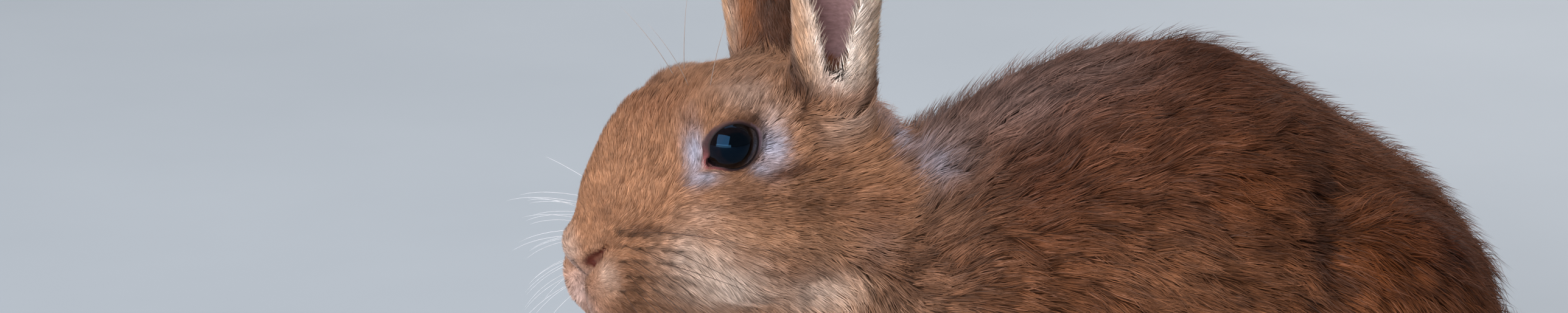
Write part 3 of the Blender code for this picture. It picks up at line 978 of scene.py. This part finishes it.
def lid_colours(outside, angles):
    """The lids' skin: dark at its edge, greyer behind the eye, and pink in the front corner."""
    rear = (np.cos(angles) < -0.7) * eased(0.2, 0.7, outside) * 0.8
    corner = np.exp(-((((angles - LID_CORNER_WAY) / 0.4) ** 2)))
    lid = mixed(mixed(LID_SKIN, LID_REAR_SKIN, rear[:, None]), LID_CORNER_SKIN, corner[:, None])
    return lid * (0.22 + 0.78 * eased(0.0, 0.55, outside)[:, None])


def bare_skin(points, labels):
    """How bare the skin is at each point (inside the ears, on the lids' edge and in the nostrils), and its
    colour there."""
    skull = belongs(labels, "head")
    bare = np.zeros(len(points))
    for word in SIDES:
        up, around, out = on_ear(points, word)
        deep = skull & (out < -2) & (out > -14) & (abs(around) < 0.6)
        inside = (belongs(labels, "ear_" + word) & (out < -0.4)) | deep
        bare = np.where(inside, eased(0.97, 0.82, abs(around)) * eased(0.03, 0.07, up), bare)
    outside, angles = beside_eye(points)
    front = 0.85 * np.exp(-(((angles + 0.15) / 0.75) ** 2))
    rear = 0.75 * np.exp(-(((abs(angles) - 3.1) / 0.6) ** 2))
    broad = 0.75 + front + rear
    at_eye = (abs(on_head(points)[:, 1]) > EYE_SIDE) & skull
    rim = eased(broad + 0.4, broad - 0.3, outside) * at_eye
    slit = eased(1.3, 0.8, in_nostril(mirrored(points))) * skull
    colours = np.where((rim > 0)[:, None], lid_colours(outside, angles), EAR_SKIN)
    colours = np.where((slit > 0)[:, None], NOSTRIL_SKIN, colours)
    return np.maximum(np.maximum(bare, rim), slit), colours


# ---------------- the lie of the coat

# Strokes of the comb on the head: a place (p, z) and the way the hair points there, in degrees up from
# straight back.
HEAD_STROKES = (
    (36, -20, 95), (39, -29, 100), (28, -5, 84), (15, 9, 70), (5, 14, 58), (-12, 16, 42), (20, -15, 84),
    (12, -8, 80), (10, 1, 88), (5, 9, 72), (-6, 11, 50), (-15, 8, 45), (-13, -3, 14), (-19, -6, 24),
    (-2, -12, -8), (8, -14, -14), (24, -34, -25), (29, -27, 46), (18, -25, 12), (2, -23, -10),
    (-20, -17, -8), (-15, -33, -28), (-16, -41, -36), (14, -41, -32), (20, -52, -22), (-25, 2, 30),
    (-46, 2, 38), (-40, -28, -20), (-35, -42, -38), (-26, 14, 62), (-40, 10, 48), (-34, -8, 6),
)  # fmt: skip
HEAD_COMB = 6.0

# The same on the body: a place (X, Z) and degrees up from straight back.
BODY_STROKES = (
    (54, 116, 60), (62, 118, 60), (60, 100, 0), (66, 88, -8), (77, 124, 48), (95, 130, 32), (105, 111, 6),
    (129, 118, 4), (150, 136, 5), (129, 98, -12), (128, 84, -24), (150, 105, -18), (168, 92, -34),
    (180, 96, -38), (184, 76, -50), (205, 100, -46), (214, 80, -66), (190, 118, -34), (120, 40, -20),
    (140, 45, -55), (152, 62, -52), (70, 70, -18), (64, 40, -72), (35, 70, -80), (90, 60, -25),
    (190, 30, -60), (226, 50, -75), (80, 90, 0),
)  # fmt: skip
BODY_COMB = 13.0

# How the tufts grow on the head, the body and the ears.
LOOKS = {
    "lock": (14, 26, 10),  # how many tufts a lock has
    "wave": (12.0, 30.0, 12.0),  # the length over which the coat sways
    "sway": (9.0, 16.0, 6.0),  # by how many degrees it sways
    "part": (6.0, 9.0, 5.0),  # how far locks turn from it, in degrees
    "stray": (7.0, 7.0, 8.0),  # how far single tufts turn from it, in degrees
    "wild": (0.05, 0.16, 0.06),  # the share of tufts that stand out of the coat
    "fringe": (1.6, 1.9, 1.8),  # how high they stand, in depths of the coat
    "pull": (0.35, 0.55, 0.25),  # how far a lock draws together at its tips
    "low": (0.80, 0.70, 0.78),  # the least height of the other tufts
    "parting": (0.25, 0.35, 0.0),  # how far partings sink
    "tone": (0.10, 0.20, 0.07),  # how much the shade differs between locks
    "grain": (0.12, 0.15, 0.10),  # how much it differs between tufts
    "ticking": (0.04, 0.08, 0.02),  # the share of tufts with dark tips
    "pale": (0.10, 0.10, 0.12),  # the share of pale tufts
    "tip": (0.02, 0.010, 0.03),  # how much paler the other tips are
    "facet": (0.13, 0.16, 0.10),  # how far the light on each lock turns its own way
    "bundle": (0.30, 0.35, 0.15),  # how far it rounds a lock
}
HEAD_LOOK, BODY_LOOK, EAR_LOOK = ({key: row[k] for key, row in LOOKS.items()} for k in range(3))


def combed(places, strokes, reach):
    """The way the hair points at each place (along, up), blended from the nearest strokes."""
    total = np.zeros((len(places), 2))
    for along, up, angle in strokes:
        gap = (places[:, 0] - along) ** 2 + (places[:, 1] - up) ** 2
        weight = 1.0 / (gap + reach**2) ** 2
        total[:, 0] += weight * math.cos(math.radians(angle))
        total[:, 1] += weight * math.sin(math.radians(angle))
    return unit(total)


def ear_ways(points, word):
    """The coat on an ear points up it, and leans forward round it."""
    place = ear_place(word)[:3, :3]
    up, around, _ = on_ear(points, word)
    return place[:, 2] + 0.42 * round_ear(up, around)[0] @ place.T


def coat_ways(points, normals, labels, edges):
    """The way that the coat points at each point of the skin."""
    places = on_head(points)
    back, up = combed(places[:, [0, 2]], HEAD_STROKES, HEAD_COMB).T
    lips = near(places, (37, 0, -46), (8, ANY, 9))
    aside = 0.7 * lips * np.sign(places[:, 1])
    on_skull = way_from_head(np.stack((-back, aside, up - 0.8 * lips), axis=1))

    back, up = combed(points[:, [0, 2]], BODY_STROKES, BODY_COMB).T
    body = np.stack((back, np.zeros(len(points)), up), axis=1)
    body = mixed(body, np.array((1.0, 0.0, 0.15)), eased(0.55, 0.95, normals[:, 2])[:, None])

    lies = [(belongs(labels, "head"), on_skull)]
    lies += [(belongs(labels, "ear_" + word), ear_ways(points, word)) for word in SIDES]
    lies += [(belongs(labels, "leg") & (points[:, 2] < PAW_TOP - 1), (-1.0, 0.0, -0.25))]
    lies += [(belongs(labels, "tail"), (0.3, 0.0, 0.95))]
    ways = body
    for where, lie in lies:
        ways = np.where(where[:, None], lie, ways)
    ways = spread(ways, edges, 8)
    return unit(ways - normals * (ways * normals).sum(axis=1)[:, None])


def ear_backs(points, labels):
    """How far each point is on the rear flap of an ear, where the coat is deeper."""
    return sum(eased(-0.4, -0.7, on_ear(points, word)[1]) * belongs(labels, "ear_" + word) for word in SIDES)


def fuller_depth(points, labels, edges, depth):
    """The coat's depth, with more on the nape, the crown and the ears' rear flaps."""
    nape = near(mirrored(points), (-52, 16, 1), (7, 12, 11))
    crown = near(mirrored(points), (-20, 10, 19), (8, 9, 6))
    return depth + spread(2.0 * nape + 1.4 * crown + 1.3 * ear_backs(points, labels), edges, 4)


def standing(points, edges):
    """How many more of the tufts stand out of the coat than elsewhere on the same piece."""
    places = mirrored(points)
    nape = near(places, (-54, 20, 2), (9, 16, 14)) + near(points, (62, 0, 118), (10, ANY, 8))
    rump = eased(165.0, 205.0, points[:, 0]) * eased(60.0, 90.0, points[:, 2])
    crown = near(places, (-20, 8, 17), (8, 9, 6))
    return spread(1 + 3.0 * nape + 0.6 * rump + 2.5 * crown, edges, 3)


def coat_sizes(points, normals, labels, edges, bare):
    """The length, width and density of the tufts at each point of the skin."""
    places = mirrored(points)
    p, _, z = places.T
    head, legs = belongs(labels, "head"), belongs(labels, "leg")
    feet = legs & (points[:, 2] < PAW_TOP)
    outside, _ = beside_eye(points)
    length, width, density = (coat_size(kind, labels, p) for kind in COAT_KINDS[1:])

    jaw = 3.0 * eased(-28, -46, z) * eased(18, 0, p)
    face = (length + jaw) * (1 - 0.4 * near(places, (30, 0, -38), (13, ANY, 13)))
    face = np.where(outside < 7, np.minimum(face, 1.7 + 0.35 * np.maximum(outside, 0)), face)
    length = np.where(head, face, length)
    length = length + 4.0 * near(places, (-52, 18, 2), (8, 16, 14))
    length = length + 3.0 * near(places, (-20, 10, 18), (7, 9, 6))
    length = np.where(feet, PAW_LENGTH, length)
    width = np.where(feet, PAW_WIDTH, width)
    length, width, density = spread(np.stack((length, width, density), axis=1), edges, 7).T

    round_eye = eased(10.0, 6.0, outside) * head
    density = density + 5.0 * round_eye
    width = width * (1 - 0.15 * round_eye)
    hidden = eased(-0.45, -0.8, normals[:, 2]) * (belongs(labels, "trunk") | legs)
    between = legs & (normals[:, 1] * np.sign(points[:, 1]) < -0.3)
    density = density * (1 - 0.6 * np.maximum(hidden, between))
    return length, width, density * (1 - eased(0.25, 0.6, bare))


# ---------------- tufts


class Coat:
    """What the tufts grow from: the skin as triangles, with a UV for each corner, and the coat's fields, each
    with a value for each point."""

    def __init__(self, points, triangles, uvs, fields):
        self.triangles, self.uvs, self.fields = triangles, uvs, fields
        self.tree = tree_of(points, triangles)
        corners = points[triangles]
        across = np.cross(corners[:, 1] - corners[:, 0], corners[:, 2] - corners[:, 0])
        self.areas = np.linalg.norm(across, axis=1) / 2
        self.face_normals = unit(self.mean("normals"))
        self.face_depth = self.mean("depth")
        self.face_ways = unit(self.mean("ways"))

    def mean(self, name):
        """A field's mean on each triangle."""
        return self.fields[name][self.triangles].mean(axis=1)

    def at(self, name, faces, weights):
        """A field at places in triangles, each a weighted mean of its triangle's corners."""
        return np.einsum("nk,nk...->n...", weights, self.fields[name][self.triangles[faces]])

    def down(self, places):
        """The nearest place on the skin to each place, and the triangle it is in."""
        hits = [self.tree.find_nearest(p) for p in places.tolist()]
        return np.array([h[0] for h in hits]), np.array([h[2] for h in hits])


def rotated(ways, normals, angles):
    """Ways turned about their normals."""
    aside = np.cross(normals, ways)
    return ways * np.cos(angles)[:, None] + aside * np.sin(angles)[:, None]


# A short tuft is a spike on a three-sided base. A long one starts at a point, is widest where it bends, and
# ends in a tip. The steps are how far along each place is, how high in the coat, and its shade.
SHORT = ((0.0, 0.0, 0.80), (1.0, 1.0, 1.0))
VELVET = ((0.0, 0.0, 0.96), (1.0, 1.0, 1.0))
LONG = ((0.0, 0.0, 0.62), (0.42, 0.72, 0.92), (1.0, 1.0, 1.0))
SPIKE = np.array([(0, 2, 1), (0, 1, 3), (1, 2, 3), (2, 0, 3)])
SPINDLE = np.array([(0, 2, 1), (0, 3, 2), (0, 1, 3), (1, 2, 4), (2, 3, 4), (3, 1, 4)])

# How far a tuft's own patch of the map reaches from the skin's place on it, and how far below that its bend
# lies. Then how wide and how thick a tuft is, as shares of its width.
PATCH, PATCH_BEND = 0.0014, 0.0002
TUFT_WIDE, TUFT_THICK = 1.15, 0.7


def tuft_paths(coat, roots, faces, ways, lengths, lifts, steps):
    """The places along each tuft: it leaves the skin, bends over and lies along the coat."""
    places, current, way, face = [roots], roots, ways, faces
    own = coat.face_ways[faces]
    square = np.cross(own, ways)
    angle = np.arctan2((square * coat.face_normals[faces]).sum(axis=1), (own * ways).sum(axis=1))
    before = 0.0
    for share, height, _ in steps[1:]:
        current = current + way * (lengths * (share - before))[:, None]
        current, face = coat.down(current)
        lift = coat.face_depth[face] * lifts * height
        places.append(current + coat.face_normals[face] * lift[:, None])
        way = rotated(coat.face_ways[face], coat.face_normals[face], angle)
        before = share
    return places


def tuft_mesh(name, places, normals, facing, widths, colours, uvs):
    """Closed three-sided tufts along the places, as one object, lit as if they faced the ways given. colours
    has one colour for each place."""
    long = len(places) == 3
    pattern, per, ring = (SPINDLE, 5, 1) if long else (SPIKE, 4, 0)
    points, shades = np.empty((2, len(widths), per, 3))
    lit = np.repeat(facing[:, None, :], per, axis=1)
    patch = np.zeros((per, 2))
    patch[[0, -1], 1] = -PATCH, PATCH
    for corner in (0, -1):
        points[:, corner], shades[:, corner] = places[corner], colours[corner]
    along = unit(places[ring + 1] - places[0])
    aside = unit(np.cross(normals, along))
    over = np.cross(along, aside)
    half = (widths / 2)[:, None]
    for k in range(3):
        turn = math.pi / 2 + k * math.pi * 2 / 3
        offset = aside * half * math.cos(turn) * TUFT_WIDE + over * half * math.sin(turn) * TUFT_THICK
        points[:, ring + k] = places[ring] + offset
        lit[:, ring + k] = unit(facing * 0.75 + unit(offset) * 0.5)
        shades[:, ring + k] = colours[ring]
        patch[ring + k] = ((k - 1) * PATCH, -PATCH_BEND if long else -PATCH)
    triangles = (np.arange(len(widths))[:, None, None] * per + pattern).reshape(-1, 3)
    corner_uvs = (uvs[:, None, None, :] + patch[pattern]).reshape(-1, 2)
    made = make_mesh(name, points.reshape(-1, 3), triangles, shades.reshape(-1, 3), corner_uvs)
    made.data.normals_split_custom_set_from_vertices(lit.reshape(-1, 3).astype(np.float32).tolist())
    return made


def scattered(coat, chosen):
    """The triangle of each tuft's root and its place in it, by the coat's density on the chosen triangles."""
    share = 1.0
    wanted = coat.areas * coat.mean("density") * chosen * share
    counts = np.floor(wanted + rng.random(len(wanted))).astype(int)
    faces = np.repeat(np.arange(len(counts)), counts)
    return faces, rng.dirichlet((1, 1, 1), len(faces))


def lifted(look, roots, lock, locks, stand):
    """How high each tuft stands, as a share of the coat's depth, and which tufts stand wild out of it."""
    lifts = look["low"] + 0.16 * rng.random(locks)[lock] + 0.14 * rng.random(len(roots))
    lifts = lifts - look["parting"] * parting(roots)
    wild = rng.random(len(roots)) < look["wild"] * stand
    return np.where(wild, rng.uniform(1.05, look["fringe"], len(roots)), lifts), wild


def tuft_shades(look, colours, lock, locks, steps):
    """The colour at each place along the tufts: darker at the root, and each lock with its own tone."""
    count = len(colours)
    tone = 1 + look["tone"] * rng.normal(0, 1, locks)[lock] + look["grain"] * rng.normal(0, 1, count)
    colours = np.clip(tone, 0.6, 1.5)[:, None] * colours
    ticked = (rng.random(count) < look["ticking"])[:, None]
    pale = (rng.random(count) < look["pale"])[:, None]
    colours = np.where(pale, colours * 1.3 + 0.02, colours)
    tips = np.where(ticked, colours * 0.5, colours * 1.1 + look["tip"])
    return [colours ** (1 + 0.3 * (1 - shade)) * shade for _, _, shade in steps[:-1]] + [tips]


def grow(coat, name, chosen, look, steps):
    """A coat piece on the chosen triangles."""
    faces, weights = scattered(coat, chosen)
    count = len(faces)
    roots = coat.at("points", faces, weights)
    normals = unit(coat.at("normals", faces, weights))
    ways = unit(coat.at("ways", faces, weights))
    uvs = np.einsum("nk,nkj->nj", weights, coat.uvs[faces])

    # Tufts stand in locks, and those of one lock turn alike.
    locks = max(int(count / look["lock"]), 1)
    hearts = rng.choice(count, locks, replace=False)
    lock = nearest(roots[hearts], roots)
    heart = hearts[lock]
    turns = ripple(roots, look["wave"], 5) * look["sway"] + rng.normal(0, look["stray"], count)
    turns = np.radians(turns + rng.normal(0, look["part"], locks)[lock])
    ways = rotated(ways, normals, turns)
    lengths = coat.at("length", faces, weights) * rng.uniform(0.7, 1.1, count)
    lifts, wild = lifted(look, roots, lock, locks, coat.at("stand", faces, weights))
    lengths = np.where(wild, lengths * rng.uniform(0.5, 0.95, count), lengths)
    places = tuft_paths(coat, roots, faces, ways, lengths, lifts, steps)

    # Each tuft leans towards the heart of its lock, and stays above the floor.
    for step in range(1, len(places)):
        most = look["pull"] * steps[step][0] ** 1.2
        pull = np.where(wild, 0.2, 1.0)[:, None] * most * rng.uniform(0.4, 1.0, (count, 1))
        places[step] = mixed(places[step], places[step][heart], pull)
        places[step][:, 2] = np.maximum(places[step][:, 2], FLOOR_GAP)

    # The light falls on each lock as on a rounded bundle, turned a little its own way.
    aside = np.cross(normals, ways)
    across = ((roots - roots[heart]) * aside).sum(axis=1)
    bundle = look["bundle"] * across / np.abs(across).mean()
    facing = unit(normals + look["facet"] * rng.normal(0, 1, (locks, 3))[lock] + bundle[:, None] * aside)

    colours = furred_colours(places[-1] * 0.65 + roots * 0.35, coat.at("shares", faces, weights))
    shades = tuft_shades(look, colours, lock, locks, steps)
    widths = coat.at("width", faces, weights) * rng.uniform(0.7, 1.25, count) * np.where(wild, 0.55, 1.0)
    return tuft_mesh(name, places, normals, facing, widths, shades, uvs)


# ---------------- whiskers and claws


def tubes(name, hairs, sides=4):
    """Tapering tubes as one object. A hair is a line of points, its radius and its colour."""
    points, triangles, shades = [], [], []
    for line, radius, colour in hairs:
        first, ends = len(points), len(line) - 1
        last = first + ends * sides
        for index, place in enumerate(line):
            along = unit(line[min(index + 1, ends)] - line[max(index - 1, 0)])
            aside = unit(np.cross(along, (0.31, 0.22, 0.92)))
            over = np.cross(along, aside)
            share = index / ends
            size = radius * (1 - share) ** 0.7 + 0.012
            for k in range(sides):
                turn = 2 * math.pi * k / sides
                points.append(place + (aside * math.cos(turn) + over * math.sin(turn)) * size)
                shades.append(colour * (0.6 + 0.5 * share))
        triangles += (split(ring_quads(len(line), sides)) + first).tolist()
        for k in range(1, sides - 1):
            triangles += [(first, first + k + 1, first + k), (last, last + k, last + k + 1)]
    return make_mesh(name, np.array(points), np.array(triangles), np.array(shades))


def bent(start, way, length, droop, steps=12):
    """Points of a hair that leaves its root one way and bends towards droop."""
    shares = np.linspace(0, 1, steps)[:, None]
    return start + unit(np.array(way)) * length * shares + np.array(droop) * length * shares**2


def make_whiskers(tree):
    """Whiskers in rows on both pads, and two long hairs over each eye."""
    hairs = []
    for word, side in SIDES.items():
        columns, ahead, rise, colour = WHISKERS[word]
        for index, (p, z) in enumerate(pad_roots()):
            row, column = divmod(index, PAD_COLUMNS)
            if column in columns:
                forward = ahead - 0.08 * column + rng.normal(0, 0.08)
                way = way_from_head((forward, 0.8 * side, rise - 0.20 * row + rng.normal(0, 0.07)))
                length = 24 + 5.0 * column + rng.normal(0, 2.5)
                droop = way_from_head((-0.22, -0.10 * side, -0.20))
                line = bent(beside_head(tree, side, p, z), way, length, droop)
                hairs.append((line, 0.06 + 0.010 * column, colour))
        for turn in (0, 1):
            root = beside_head(tree, side, 5.0 - 4.0 * turn, 12.0)
            way = way_from_head((0.45 - 0.5 * turn, 0.25 * side, 1.0))
            line = bent(root, way, 24.0 + 2.0 * turn, FORWARD * (0.2 - 0.3 * turn))
            hairs.append((line, 0.10, BROW_HAIR))
    return tubes("whiskers", hairs)


def make_rim_hairs(points, labels, word):
    """Long pale hairs that grow from an ear's rims up and over its opening."""
    up, around, _ = on_ear(points, word)
    rims = belongs(labels, "ear_" + word) & (abs(around) > 0.9) & (up > 0.1) & (up < 0.9)
    place = ear_place(word)[:3, :3]
    forward, out = round_ear(up, around)
    over = forward * np.sign(around)[:, None]
    hairs = []
    for index in rng.choice(np.flatnonzero(rims), RIM_HAIRS):
        tilt = rng.uniform(-0.15, 0.34)
        way = place @ (UP + over[index] * tilt + out[index] * rng.uniform(-0.05, 0.3))
        length = (5.8 - 2.4 * up[index]) * rng.uniform(0.4, 1.1)
        line = bent(points[index], way, length, place @ (over[index] * 0.12), 5)
        hairs.append((line, rng.uniform(0.06, 0.10), RIM_HAIR * rng.uniform(0.6, 1.05)))
    return tubes("ear_hairs_" + word, hairs, sides=3)


def make_claws():
    """One short curved claw at the end of each toe."""
    hairs = []
    for side in SIDES.values():
        for (x, y), step, set_back in TOE_ROWS:
            for toe in (-1.5, -0.5, 0.5, 1.5):
                start = np.array((x + 2.0 + abs(toe) * set_back, -side * y + toe * step, 4.4))
                line = bent(start, (-1.0, 0.0, 0.15), 4.6, (0.1, 0.0, -0.62), 7)
                hairs.append((line, 0.85, CLAW))
    return tubes("claws", hairs, sides=8)


# ---------------- putting it together


def shaped_skin():
    """The whole skin with its fields: points, triangles, node labels and coat depth."""
    points, quads, labels, depth = smooth_skin()
    p, _, z = on_head(points).T
    muzzle = belongs(labels, "head") & (p > 10) & (z < -18) & (z > -56)
    points, triangles, labels, depth = refined(points, quads, labels, depth, muzzle, 2)
    points = carved(points, normals_of(points, triangles))
    points = filled(points, normals_of(points, triangles), labels)
    points = sunk_round_eyes(points)
    tree = tree_of(points, triangles)
    lid_depth = 0.5 + 0.12 * np.maximum(np.repeat(LID_STEPS, LID_SEGMENTS), 0)
    for side in SIDES.values():
        ring, faces = lid_patch(side, tree)
        triangles = np.concatenate((triangles, faces + len(points)))
        points = np.concatenate((points, ring))
        labels = np.concatenate((labels, np.full(len(ring), FLESH.index("head"))))
        depth = np.concatenate((depth, lid_depth))
    return points, triangles, labels, depth


def make_skin(points, triangles, colours):
    """The skin as an object, with its map unwrapped."""
    skin = make_mesh("skin", points, triangles, colours)
    bpy.context.view_layer.objects.active = skin
    skin.select_set(True)
    bpy.ops.object.mode_set(mode="EDIT")
    bpy.ops.mesh.select_all(action="SELECT")
    bpy.ops.uv.smart_project(angle_limit=math.radians(66), island_margin=0.002)
    bpy.ops.object.mode_set(mode="OBJECT")
    skin.data.uv_layers[0].name = "OFBake"
    finished(skin, skin_material())
    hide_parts(*FLESH)
    return skin


def make_coat(coat, labels):
    """The coat's pieces: six on each side, and the neck and tail."""
    hair = coat_material()
    nodes = labels[coat.triangles[:, 0]]
    middles = coat.mean("points")
    p, s, _ = on_head(middles).T
    lid_triangles = len(SIDES) * 2 * LID_SEGMENTS * (len(LID_STEPS) - 1)
    under_lids = (beside_eye(middles)[0] < 4.0) & (abs(s) > EYE_SIDE)
    under_lids[-lid_triangles:] = False
    front = eased(-16, -2, p)

    def add(name, chosen, look=BODY_LOOK, steps=LONG):
        finished(grow(coat, "coat_" + name, chosen, look, steps), hair)

    for word, side in SIDES.items():
        skull = belongs(nodes, "head") & (s * side > 0) & ~under_lids
        add("face_" + word, skull * front, HEAD_LOOK, SHORT)
        add("cheek_" + word, skull * (1 - front), HEAD_LOOK)
        add("ear_" + word, belongs(nodes, "ear_" + word), EAR_LOOK, VELVET)
        for leg in ("foreleg", "hindleg"):
            add(f"{leg}_{word}", belongs(nodes, f"{leg}_{word}"))
        add("trunk_" + word, belongs(nodes, "trunk") & (middles[:, 1] * side < 0))
    for name in ("neck", "tail"):
        add(name, belongs(nodes, name))


def make_rabbit():
    """Every piece of the rabbit."""
    points, triangles, labels, depth = shaped_skin()
    edges, normals = edges_of(triangles), normals_of(points, triangles)
    bare, bare_colours = bare_skin(points, labels)
    shares = node_shares(labels, edges)
    colours = mixed(furred_colours(points, shares) * SKIN_SHADE, bare_colours, bare[:, None])
    skin = make_skin(points, triangles, colours)

    length, width, density = coat_sizes(points, normals, labels, edges, bare)
    fields = {
        "points": points,
        "normals": normals,
        "depth": fuller_depth(points, labels, edges, depth),
        "ways": coat_ways(points, normals, labels, edges),
        "shares": shares,
        "stand": standing(points, edges),
        "length": length,
        "width": width,
        "density": density,
    }
    uvs = read(skin.data.uv_layers["OFBake"].data, "uv", 2).reshape(-1, 3, 2)
    coat = Coat(points, triangles, uvs, fields)
    make_coat(coat, labels)

    eye = eye_material()
    for word, side in SIDES.items():
        make_eye(word, side, eye)
    finished(make_whiskers(coat.tree), plain_hair_material("whisker", 0.4))
    ear_hair = plain_hair_material("ear hair", 0.5)
    for word in SIDES:
        finished(make_rim_hairs(points, labels, word), ear_hair)
    finished(make_claws(), plain_hair_material("claw", 0.35))


# ---------------- floor, lights and camera

# The photo's camera: its turn from square to the rabbit's left side, its rise, its distance and its lens.
# It looks past the front of the near eye, at a place so far right of it and so far above it in the picture.
VIEW_TURN, VIEW_RISE = math.radians(12.0), math.radians(15.0)
VIEW_DISTANCE = 2500.0
LENS, SENSOR = 209.62733, 36.0
NEAR_EYE_FRONT = (0.0, 25.7, 0.0)
VIEW_RIGHT, VIEW_ABOVE = 13.5, -2.4

# Each lamp: its place, what it lights, its size, power and colour.
LAMPS = {
    "window": ((-1.15, -1.35, 0.85), (-0.06, 0, 0.1), (1.8, 1.45), 50.0, (0.90, 0.95, 1.0)),
    "low": ((-0.85, -1.1, 0.06), (-0.12, 0, 0.1), (1.6, 0.4), 13.0, (1.0, 0.93, 0.85)),
    "top": ((0.0, 0.3, 1.6), (0, 0, 0.1), (1.2, 1.2), 9.0, (0.92, 0.96, 1.0)),
    "side": ((1.20, 0.75, 0.85), (0, 0, 0.12), (0.9, 0.9), 15.0, (1.0, 0.95, 0.90)),
}


def make_floor(size=5.0):
    """A plain pale floor, wide enough to fill every view."""
    mesh = bpy.data.meshes.new("floor")
    corners = [(-size, -size, 0), (size, -size, 0), (size, size, 0), (-size, size, 0)]
    mesh.from_pydata(corners, [], [(0, 1, 2, 3)])
    material, tree, shader = new_material("floor", 0.9, 0.1)
    tone = ramp(tree, noise(tree, 6.0), ((0.3, (0.40, 0.43, 0.47)), (0.7, (0.43, 0.46, 0.50))))
    tree.links.new(tone, shader.inputs["Base Color"])
    mesh.materials.append(material)
    add_object("floor", mesh)


def make_lamps():
    """A large window on the photo's side, a low warm strip, a lamp overhead and one behind."""
    for name, (place, aim, size, power, colour) in LAMPS.items():
        lamp = bpy.data.lights.new(name, "AREA")
        lamp.shape = "RECTANGLE"
        lamp.size, lamp.size_y = size
        lamp.energy = power
        lamp.color = colour
        made = add_object(name, lamp)
        made.location = place
        turn_to(made, Vector(aim) - Vector(place))


def make_camera():
    """The camera of the photo: a long lens, before the rabbit's left side and a little above it."""
    level = math.cos(VIEW_RISE)
    back = np.array((-math.sin(VIEW_TURN) * level, -math.cos(VIEW_TURN) * level, math.sin(VIEW_RISE)))
    right = np.array((math.cos(VIEW_TURN), -math.sin(VIEW_TURN), 0.0))
    target = from_head(NEAR_EYE_FRONT) + VIEW_RIGHT * right + VIEW_ABOVE * np.cross(back, right)
    camera = bpy.data.cameras.new("camera")
    camera.lens, camera.sensor_width = LENS, SENSOR
    camera.clip_start, camera.clip_end = 0.05, 20.0
    made = add_object("camera", camera)
    made.location = to_world(target + VIEW_DISTANCE * back)
    turn_to(made, -back)
    bpy.context.scene.camera = made


def light_world():
    """A dim bluish sky all round."""
    world = bpy.data.worlds.new("world")
    world.use_nodes = True
    sky = world.node_tree.nodes["Background"]
    sky.inputs["Color"].default_value = (0.94, 0.97, 1.0, 1.0)
    sky.inputs["Strength"].default_value = 0.30
    bpy.context.scene.world = world


make_rabbit()
make_floor()
make_camera()
light_world()
make_lamps()
bpy.context.scene.view_settings.view_transform = "Standard"
